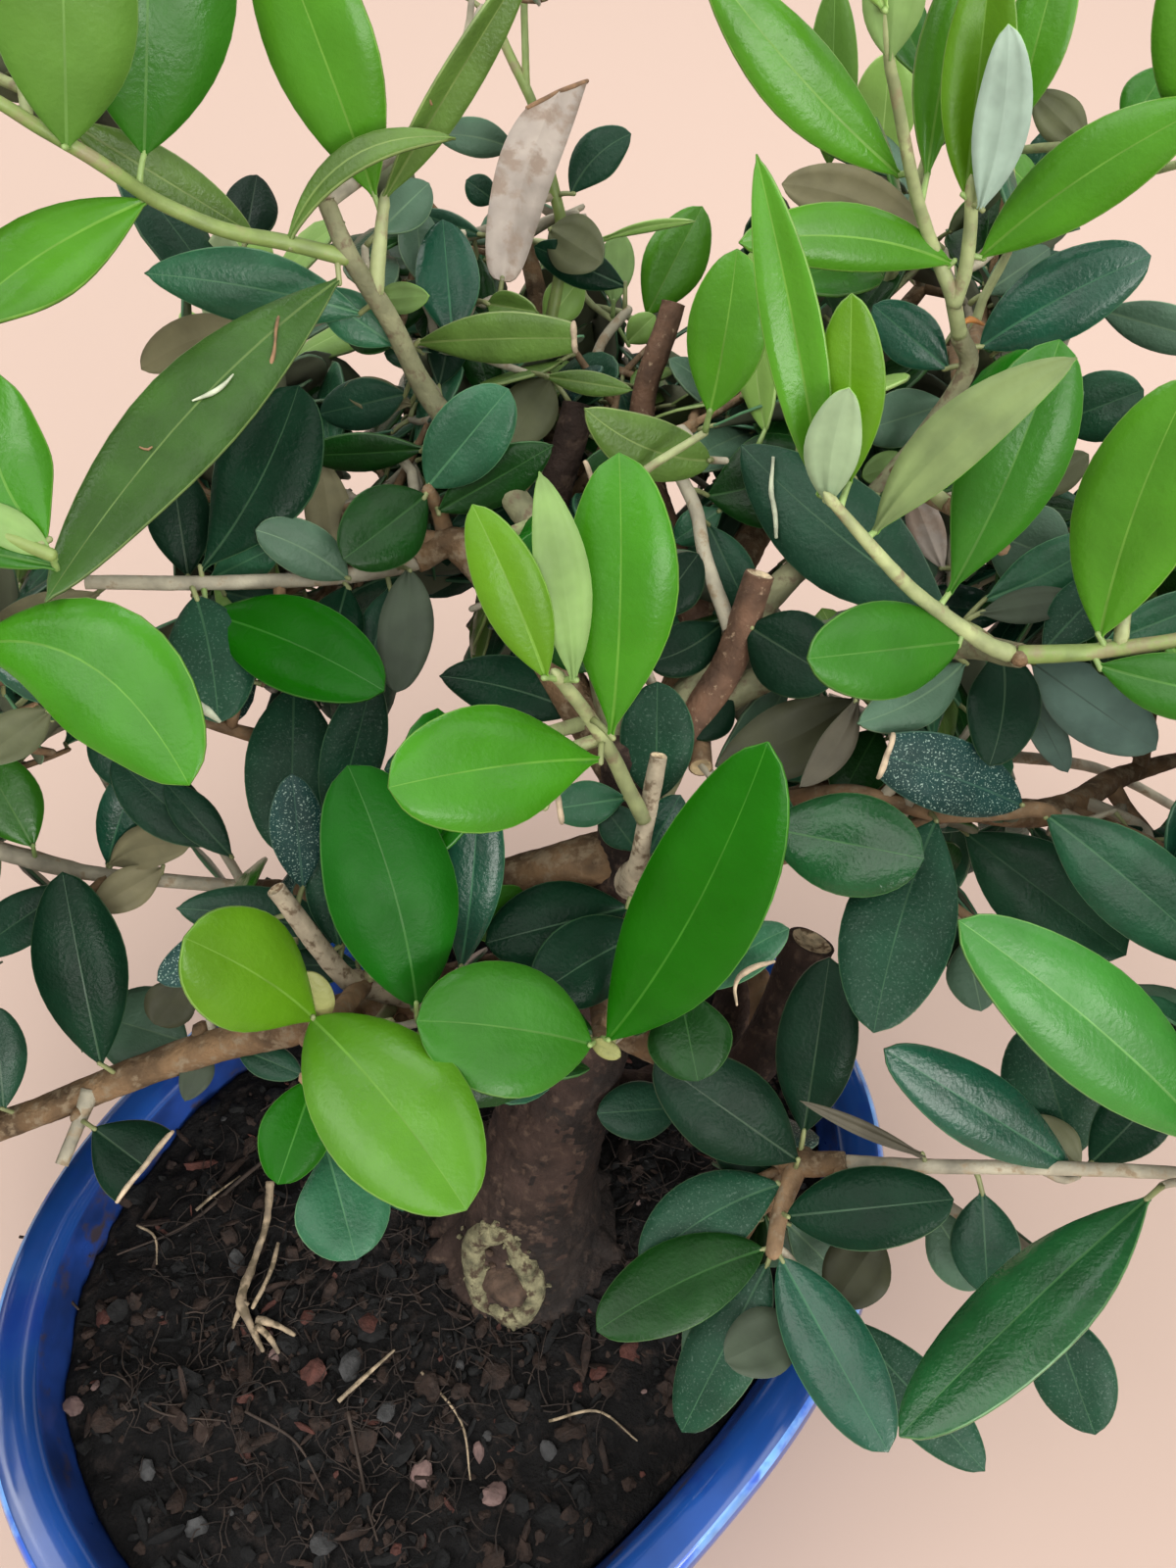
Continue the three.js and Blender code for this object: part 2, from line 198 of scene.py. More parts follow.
def tube(b, pts, radii, sides=8, step=1.0, mat=0, relief=0.0, knots=(), cap="round", seed=0, cap_mat=None, bark=0.0, n=None):
    """A tapering stem along pts. knots are places in mm where a pair of leaves swells it."""
    line, par, s = smooth_line(pts, n=n, step=step)
    r = np.interp(par, np.linspace(0, 1, len(radii)), radii)
    for k in knots:
        r = r * (1 + 0.28 * np.exp(-((s - k) / 0.9) ** 2))
    t, nn, bb = frames(line)
    a = np.linspace(0, 2 * math.pi, sides, endpoint=False)
    out = nn[:, None, :] * np.cos(a)[None, :, None] + bb[:, None, :] * np.sin(a)[None, :, None]
    base = line[:, None, :] + out * r[:, None, None]
    if relief or bark:
        low = fbm(base / (2.2 * max(np.mean(r), 0.6)) + seed, 2, seed)
        k = relief * low
        if bark:
            along = np.broadcast_to(s[:, None], low.shape)
            ring = np.stack([np.cos(a)[None, :] * r[:, None] * 1.1, np.sin(a)[None, :] * r[:, None] * 1.1, along * 0.22], 2)
            fine = 1 - 2 * np.abs(fbm(ring * 1.3 + seed, 3, seed + 5))
            grain = fbm(base * 1.7, 2, seed + 9)
            k = k + bark * (0.6 * fine + 0.4 * grain)
        base = line[:, None, :] + out * (r[:, None] * (1 + k))[:, :, None]
    m = len(line)
    v = base.reshape(-1, 3)
    i, j = np.meshgrid(np.arange(m - 1), np.arange(sides), indexing="ij")
    j2 = (j + 1) % sides
    q = np.stack([i * sides + j, i * sides + j2, (i + 1) * sides + j2, (i + 1) * sides + j], -1).reshape(-1, 4)
    loops, sizes = [q.ravel()], [np.full(len(q), 4)]
    mats = [np.full(len(q), mat)]
    extra = []
    k = m * sides
    # foot
    loops.append(np.arange(sides)[::-1])
    sizes.append([sides])
    mats.append([mat])
    tip = (m - 1) * sides + np.arange(sides)
    if cap == "flat":
        loops.append(tip)
        sizes.append([sides])
        mats.append([mat])
    else:
        if cap == "round":
            ups, outs = (0.5, 0.85), (0.82, 0.4)
        elif cap == "bud":
            ups, outs = (1.0, 2.6, 3.6), (1.12, 0.75, 0.2)
        else:  # cut: a raised ring round a sunk end
            ups, outs = (0.10, 0.12, -0.05, -0.12), (1.03, 0.9, 0.68, 0.3)
        prev = tip
        for n_ring, (u, o) in enumerate(zip(ups, outs)):
            w = 1 + (0.06 * vnoise(np.stack([np.cos(a) * 2, np.sin(a) * 2, np.full(sides, seed + n_ring)], 1)) if cap == "cut" else 0)
            ring = line[-1] + t[-1] * r[-1] * u + out[-1] * (r[-1] * o * np.broadcast_to(w, (sides,)))[:, None]
            extra.append(ring)
            now = k + np.arange(sides)
            k += sides
            q = np.stack([prev, np.roll(prev, -1), np.roll(now, -1), now], 1)
            loops.append(q.ravel())
            sizes.append(np.full(sides, 4))
            mats.append(np.full(sides, mat if (cap != "cut" or n_ring < 2) else (cap_mat if cap_mat is not None else mat)))
            prev = now
        loops.append(prev)
        sizes.append([sides])
        mats.append([cap_mat if (cap == "cut" and cap_mat is not None) else mat])
    b.add(np.vstack([v] + extra), np.concatenate(loops), np.concatenate([np.atleast_1d(x) for x in sizes]), np.concatenate([np.atleast_1d(x) for x in mats]))
    return line, t, r, s


# ---------------------------------------------------------------- leaves
# A leaf is a closed thin body: an upper sheet with a sunk midrib and a pale
# rolled edge, a lower sheet with a raised rib, and the edge between them.
def leaf_template(n, top, low):
    t = np.linspace(0, 1, n + 1)
    u = 0.5 - 0.5 * np.cos(math.pi * t)
    T, L = len(top), len(low)
    uu = np.concatenate([np.repeat(u, T), np.repeat(u, L)])
    row = np.concatenate([np.repeat(np.arange(n + 1), T), np.repeat(np.arange(n + 1), L)])
    vv = np.concatenate([np.tile([c[0] for c in top], n + 1), np.tile([c[0] for c in low], n + 1)])
    kk = np.concatenate([np.tile([c[1] for c in top], n + 1), np.tile([c[1] for c in low], n + 1)])
    side = np.concatenate([np.ones(T * (n + 1)), -np.ones(L * (n + 1))])
    o = T * (n + 1)
    loops, sizes, mats = [], [], []
    for i in range(n):
        for j in range(T - 1):
            loops += [i * T + j, (i + 1) * T + j, (i + 1) * T + j + 1, i * T + j + 1]
            sizes.append(4)
            a, b = top[j][1], top[j + 1][1]
            mats.append(2 if "m" in (a, b) else 1 if (a == "r" and b == "r") else 0)
        for j in range(L - 1):
            loops += [o + i * L + j, o + i * L + j + 1, o + (i + 1) * L + j + 1, o + (i + 1) * L + j]
            sizes.append(4)
            mats.append(3)
        a, b, c, d = i * T + T - 1, (i + 1) * T + T - 1, o + (i + 1) * L + L - 1, o + i * L + L - 1
        loops += [a, b, c, d]
        a, b, c, d = i * T, (i + 1) * T, o + (i + 1) * L, o + i * L
        loops += [d, c, b, a]
        sizes += [4, 4]
        mats += [2, 2]
    loops += list(range(T)) + [o + L - 1 - j for j in range(L)]
    sizes.append(T + L)
    mats.append(2)
    a = [n * T + j for j in range(T)] + [o + n * L + L - 1 - j for j in range(L)]
    loops += a[::-1]
    sizes.append(T + L)
    mats.append(2)
    return dict(u=uu, v=vv, k=kk, side=side, row=row, n=n, loops=np.array(loops), sizes=np.array(sizes), mats=np.array(mats))


FINE = leaf_template(20, [(-1, "m"), (-.94, "i"), (-.66, "b"), (-.33, "b"), (-.05, "r"), (.05, "r"), (.33, "b"), (.66, "b"), (.94, "i"), (1, "m")],
                     [(-1, "m"), (-.6, "b"), (-.25, "b"), (-.05, "r"), (.05, "r"), (.25, "b"), (.6, "b"), (1, "m")])
COARSE = leaf_template(9, [(-1, "m"), (-.92, "i"), (-.45, "b"), (-.05, "r"), (.05, "r"), (.45, "b"), (.92, "i"), (1, "m")],
                       [(-1, "m"), (-.45, "b"), (0, "c"), (.45, "b"), (1, "m")])
# how each outline runs: fullness at the foot and at the tip, and where it is widest
SHAPES = {"d": (.9, .42, .64), "f": (.28, .30, .50), "o": (.62, .45, .52), "e": (.76, .50, .53), "l": (.84, .64, .51), "t": (.86, .44, .60), "b": (.56, .60, .44)}


def leaf(b, tp, base, tip, normal, width, shape="e", bow=0.0, sag=0.0, rise=0.26, drop=0.36, twist=0.0, wave=0.02, cut=None, slant=0.0, seed=0, thick=0.34):
    """One leaf from base to tip. bow bends it sideways, sag lifts its middle, both in mm."""
    base, tip = np.asarray(base, float), np.asarray(tip, float)
    c = np.linalg.norm(tip - base)
    T = (tip - base) / c
    N = np.asarray(normal, float) - T * (np.asarray(normal, float) @ T)
    N = unit(N)
    B = np.cross(N, T)
    p_foot, p_tip, peak = SHAPES[shape]
    u, v, side = tp["u"].copy(), tp["v"].copy(), tp["side"]
    if cut is not None:
        u = u * cut
    skew = math.log(0.5) / math.log(peak)
    o = np.sin(math.pi * np.clip(u, 0, 1) ** skew) ** (p_foot + (p_tip - p_foot) * np.clip(u, 0, 1))
    hw = 0.5 * width * (o + 0.012 * np.sin(9 * u + seed) * o)
    hw = np.maximum(hw, np.where(u < 0.5, 0.42, 0.10))
    if cut is None:
        last = tp["row"] == tp["n"]
        u = np.where(last, 1.012, u)
        hw = np.where(last, 0.07, hw)
    rib = (tp["k"] == "r")
    v = np.where(rib, np.sign(v) * np.clip(0.15 * (1.15 - 0.85 * np.clip(u, 0, 1)) / hw, 0.006, 0.3), v)
    v = np.where(tp["k"] == "i", np.sign(v) * np.clip(1 - 0.13 / hw, 0.6, 0.985), v)
    q = 4 * u * (1 - u)
    slope_n, slope_b = 4 * sag / c * (1 - 2 * u), 4 * bow / c * (1 - 2 * u)
    ang = twist * (u - 0.35)
    Nu = N[None, :] - T[None, :] * slope_n[:, None]
    Bu = B[None, :] - T[None, :] * slope_b[:, None]
    Nu /= np.linalg.norm(Nu, axis=1)[:, None]
    Bu /= np.linalg.norm(Bu, axis=1)[:, None]
    ca, sa = np.cos(ang)[:, None], np.sin(ang)[:, None]
    Nu, Bu = Nu * ca - Bu * sa, Bu * ca + Nu * sa
    av = np.abs(v)
    h = hw * (rise * av - drop * av ** 2) * np.minimum(1, 6 * np.minimum(u, 1.02 - u) + 0.25)
    h = h + wave * width * np.sin(6.3 * (1.2 * u) + seed * 1.7 + 1.5 * np.sign(v)) * av ** 2 * q
    h = h + 0.012 * width * vnoise(np.stack([u * 7 + seed, v * 2.6, np.full_like(u, seed * 0.37)], 1)) * q
    edge = tp["k"] == "m"
    t = np.where(edge, 0.36 * thick, 0.5 * thick)
    h = h + side * t
    h = h - np.where(edge, 0.10, 0.0)
    h = np.where(rib & (side > 0), h - 0.14 * np.clip(1.1 - u, 0.2, 1), h)
    h = np.where((rib | (tp["k"] == "c")) & (side < 0), h - 0.30 * np.clip(1.05 - u, 0.05, 1), h)
    P = base + np.outer(c * (u + slant * v * u ** 3), T) + np.outer(sag * q, N) + np.outer(bow * q, B)
    P = P + Bu * (v * hw)[:, None] + Nu * h[:, None]
    b.add(P, tp["loops"], tp["sizes"], tp["mats"])
    first = unit(T + N * 4 * sag / c + B * 4 * bow / c)
    return first


# ---------------------------------------------------------------- limbs
# Each limb runs where its solid lies and goes on into the foliage.
def P3(x, y, z):
    return np.array([x, y, z], float)


LIMBS = {
    "trunk": ([P3(11.5, 1.5, 42.6), P3(11.8, 2, 50), P3(13.8, 4.4, 62), P3(17.4, 9.2, 78), P3(22, 16, 94), P3(26.4, 22.6, 108), P3(28.4, 27.4, 122), P3(27.2, 33, 135.5)],
              [16.2, 12.4, 9.8, 8.4, 7.4, 6.3, 5.0, 3.4]),
    "bough_left_low": ([P3(24.5, 19.5, 101), P3(8, 17, 103), P3(-12, 14.6, 97.5), P3(-39, 14, 85), P3(-69, 5, 78), P3(-86, 1, 76), P3(-99, -2, 79)],
                       [4.2, 3.4, 3.0, 2.6, 2.2, 1.9, 1.2]),
    "bough_left_mid": ([P3(28, 27, 121), P3(12, 24.6, 118), P3(-10, 23, 114), W(300, 908, 183), W(250, 905, 193.5)],
                       [4.0, 3.0, 2.1, 1.35, 1.15]),
    "bough_left_high": ([P3(27.5, 31, 131), P3(16, 46, 142), W(553, 659, 165), W(470, 558, 168), W(425, 573, 167)],
                        [3.1, 2.7, 2.4, 2.3, 1.5]),
    "bough_top_left": ([P3(27.4, 33, 134), P3(22, 47, 148), P3(9, 64, 158), W(439, 406, 165), W(400, 330, 157.5), W(357, 262, 150), W(333, 206, 147)],
                       [2.9, 2.3, 1.8, 1.45, 1.3, 1.2, 1.1]),
    "bough_back": ([P3(28, 30, 126), P3(25, 54, 134), P3(18, 84, 138), P3(15, 112, 148), P3(12, 122, 158)],
                   [3.7, 3.1, 2.6, 2.0, 1.2]),
    "bough_back_right": ([P3(28.6, 28.5, 124), P3(37, 52, 131), P3(52, 84, 138), P3(68, 108, 146), P3(78, 118, 154)],
                         [3.4, 2.9, 2.4, 1.8, 1.1]),
    "bough_top_right": ([P3(28, 32, 132), W(774, 621, 169), W(898, 500, 168), W(983, 386, 160), W(979, 340, 155)],
                        [2.9, 1.95, 1.5, 1.2, 1.1]),
    "bough_right": ([P3(28.4, 27, 118), P3(45, 33, 120), P3(63.5, 38, 120), P3(89, 38, 115), P3(108, 52, 106), P3(122, 58, 104)],
                    [3.6, 3.0, 2.5, 2.1, 1.7, 1.0]),
    "bough_right_high": ([P3(28.6, 28, 124), P3(36, 38, 134), W(785, 690, 167), W(900, 668, 161), W(985, 660, 151), W(1040, 669, 142.5)],
                         [3.0, 2.5, 2.0, 1.7, 1.5, 1.4]),
    "bough_right_low": ([P3(22.5, 16, 95), P3(38, 7, 95), W(770, 1158, 178), W(815, 1186, 174.5), W(862, 1187, 173)],
                        [3.6, 2.8, 2.1, 1.9, 1.5]),
    "stub_right_thick": ([P3(18, 9.5, 79), P3(34, 11, 76), P3(48, 14, 81), P3(55.6, 24, 101)], [4.6, 4.0, 3.7, 3.5]),
    "stub_left": ([P3(-2, 15.6, 100.5), W(372, 1004, 171), W(345, 990, 166), W(282, 908, 158)], [2.3, 1.8, 1.4, 1.2]),
    "stub_centre": ([P3(28.4, 24, 118), W(652, 892, 161), W(654, 868, 156), W(672, 772, 150)], [3.0, 2.1, 1.15, 1.05]),
    "stub_right_up": ([P3(28.6, 30, 128), P3(38, 40, 137.5), P3(41.5, 44, 142), P3(44.5, 49, 152)], [2.8, 2.4, 2.2, 1.9]),
    "stub_back": ([P3(25.6, 52, 134.5), P3(16.6, 68, 141), P3(20.8, 82, 154.5)], [2.6, 2.4, 2.4]),
    "stub_back_right": ([P3(39, 57, 132.5), P3(30.5, 88, 145), P3(35, 100, 160)], [2.5, 2.0, 1.75]),
}
CUT_ENDS = {"bough_left_high", "bough_top_left", "bough_right_high", "bough_right_low", "stub_right_thick", "stub_left",
            "stub_centre", "stub_right_up", "stub_back", "stub_back_right"}

# twigs that show: kind, points (x, y, depth), radii, how the end is finished
TWIGS = [
    ("bark", [(410, 1040, 176), (384, 1080, 166), (352, 1108, 157), (330, 1108, 154)], (1.0, .8, .6), "round"),
    ("new", [(357, 264, 150), (290, 247, 147), (230, 235, 143), (160, 205, 138), (100, 165, 132), (40, 130, 128), (0, 105, 125), (-60, 72, 122), (-112, 44, 121)], (1.0, .86, .75, .6), "bud"),
    ("pale", [(383, 300, 154), (386, 262, 151.5), (391, 215, 149.5)], (1.1, .95, .7), "bud"),
    ("new", [(-20, 862, 189.5), (-70, 820, 172), (-92, 730, 148), (-74, 630, 131), (-40, 565, 122), (-8, 545, 120), (52, 566, 121)], (1.3, 1.2, 1.1, 1.0, .8, .7), "round"),
    ("grey", [(428, 573, 167), (400, 580, 166), (355, 588, 164), (300, 592, 162), (205, 595, 159), (88, 594, 156)], (1.1, 1.0, .9), "cut"),
    ("pale", [(657, 836, 153), (640, 803, 149), (625, 772, 145), (600, 730, 138), (572, 694, 130)], (1.0, .9, .72), "bud"),
    ("bark", [(371, 1003, 171), (346, 1032, 160), (326, 1050, 152), (312, 1062, 149)], (1.5, 1.2, .9), "round"),
    ("bark", [(610, 1010, 178), (612, 1040, 166), (612, 1062, 154)], (1.6, 1.2, .9), "round"),
    ("grey", [(92, 1112, 190), (82, 1142, 188.5), (63, 1188, 186)], (1.5, 1.05, .95), "cut"),
    ("grey", [(330, 915, 178), (285, 905, 186), (250, 905, 194), (110, 893, 193), (60, 884, 192), (0, 868, 190), (-60, 850, 188)], (1.2, 1.1, 1.1, 1.5, 1.3), "round"),
    ("grey", [(250, 905, 194), (235, 880, 193), (222, 860, 191)], (.8, .7), "round"),
    ("bark", [(300, 760, 176), (250, 748, 173), (203, 733, 170)], (1.2, 1.0, .9), "round"),
    ("pale", [(1030, 667, 142), (1003, 655, 140), (940, 610, 134), (900, 570, 129), (852, 515, 124.5)], (1.08, .96, .8, .7, .55), "bud"),
    ("new", [(1040, 668, 142), (1082, 667, 140), (1125, 664, 139), (1190, 655, 136), (1262, 640, 133)], (1.1, 1.0, .9, .7), "bud"),
    ("pale", [(979, 342, 155), (971, 300, 150), (955, 260, 147), (935, 200, 140), (915, 100, 130), (907, 58, 126), (902, 0, 122)], (1.0, .86, .72, .62, .45), "bud"),
    ("pale", [(973, 312, 151), (984, 280, 148), (990, 235, 144), (991, 200, 141)], (.95, .85, .7), "bud"),
    ("bark", [(800, 815, 174), (872, 808, 166), (960, 831, 165), (1056, 826, 167), (1078, 834, 168)], (1.1, .95, 1.15, .9), "round"),
    ("grey", [(862, 1187, 173), (945, 1190, 169), (1080, 1192, 164), (1200, 1197, 159), (1290, 1203, 155)], (1.15, .95, .9, .7), "bud"),
    ("bark", [(815, 1184, 174.5), (797, 1235, 171), (789, 1278, 168)], (1.6, 1.2, 1.1), "round"),
    ("grey", [(745, 642, 163), (720, 570, 165), (710, 520, 166), (690, 478, 168), (672, 445, 170)], (1.05, .95, .9, .7), "round"),
    ("bark", [(712, 745, 168), (715, 782, 163)], (1.7, 1.6), "cut"),
    ("new", [(560, 340, 200), (574, 250, 195), (562, 180, 190), (545, 110, 186), (515, 45, 183), (500, 0, 182), (488, -60, 181)], (1.0, .9, .7, .6), "bud"),
    ("new", [(537, 92, 185), (536, 50, 183), (535, 0, 182), (538, -50, 181)], (.6, .5), "bud"),
    ("grey", [(600, 392, 198), (614, 350, 196), (641, 316, 194)], (.9, .75), "round"),
    ("grey", [(1010, 770, 215), (1090, 778, 222), (1140, 792, 226), (1210, 830, 228)], (1.1, 1.0, .8), "round"),
    ("bark", [(770, 1092, 194), (776, 1062, 197), (778, 1022, 200), (773, 996, 202)], (2.5, 2.1, 1.9), "round"),
    ("bark", [(455, 545, 169), (447, 520, 165), (437, 500, 161)], (1.3, 1.0, .85), "round"),
]

# ---------------------------------------------------------------- leaf kinds
# top, edge and midrib, underside, gloss
KINDS = {
    "bright": ((64, 118, 24), (124, 150, 76), (135, 163, 108), .30),
    "lush": ((49, 109, 13), (118, 148, 72), (135, 163, 108), .30),
    "limelit": ((66, 114, 16), (110, 142, 80), (168, 183, 135), .34),
    "vivid": ((14, 81, 2), (61, 116, 30), (135, 163, 108), .30),
    "yellow": ((72, 114, 14), (112, 142, 80), (168, 183, 135), .34),
    "fresh": ((120, 155, 76), (169, 191, 126), (161, 177, 134), .42),
    "wash": ((77, 116, 42), (122, 156, 91), (161, 177, 134), .45),
    "silver": ((124, 172, 60), (97, 130, 67), (106, 135, 75), .55),
    "mid": ((40, 94, 19), (95, 125, 65), (115, 128, 94), .32),
    "deep": ((19, 79, 3), (72, 127, 29), (115, 128, 94), .32),
    "gloss": ((14, 74, 8), (70, 112, 46), (115, 128, 94), .42),
    "mdark": ((16, 52, 15), (62, 103, 47), (106, 112, 86), .34),
    "dark": ((28, 60, 43), (82, 112, 76), (101, 104, 83), .34),
    "black": ((13, 36, 23), (53, 79, 41), (86, 88, 70), .36),
    "teal": ((38, 84, 57), (105, 147, 102), (101, 108, 88), .34),
    "deepteal": ((21, 65, 47), (87, 134, 92), (101, 108, 88), .26),
    "dusty": ((22, 57, 39), (76, 115, 75), (101, 104, 86), .42),
    "speck": ((20, 54, 50), (86, 118, 92), (101, 99, 83), .50),
    "olive": ((76, 103, 44), (139, 149, 94), (108, 114, 83), .36),
    "grey": ((66, 93, 73), (117, 141, 104), (106, 108, 88), .45),
    "unol": ((44, 76, 52), (118, 124, 82), (84, 88, 61), .5),
    "unbr": ((44, 66, 48), (127, 128, 92), (118, 113, 84), .5),
    "ungr": ((44, 66, 52), (74, 85, 66), (54, 64, 49), .5),
    "undk": ((38, 58, 42), (71, 75, 46), (46, 48, 28), .5),
    "unwarm": ((44, 66, 48), (120, 108, 86), (69, 65, 52), .5),
    "unpale": ((84, 160, 30), (86, 127, 37), (103, 120, 73), .5),
    "ungreen": ((84, 156, 34), (62, 116, 27), (40, 79, 18), .5),
    "moss": ((47, 76, 29), (132, 143, 90), (108, 114, 83), .34),
    "ink": ((13, 40, 25), (71, 107, 66), (86, 88, 70), .28),
    "white": ((124, 172, 60), (125, 157, 102), (146, 166, 151), .55),
    "ivy": ((24, 70, 35), (101, 136, 80), (115, 128, 94), .20),
    "shiny": ((48, 106, 38), (122, 152, 88), (115, 128, 94), .28),
    "ash": ((124, 172, 60), (125, 157, 102), (126, 146, 112), .55),
    "mist": ((150, 188, 172), (126, 148, 128), (106, 108, 88), .5),
    "dead": ((168, 150, 128), (124, 104, 86), (156, 145, 135), .7),
    "cream": ((123, 124, 75), (123, 125, 73), (194, 190, 159), .5),
}
UNDER = {"unwarm", "ash", "silver", "white", "unol", "unbr", "ungr", "undk", "unpale", "ungreen", "dead"}

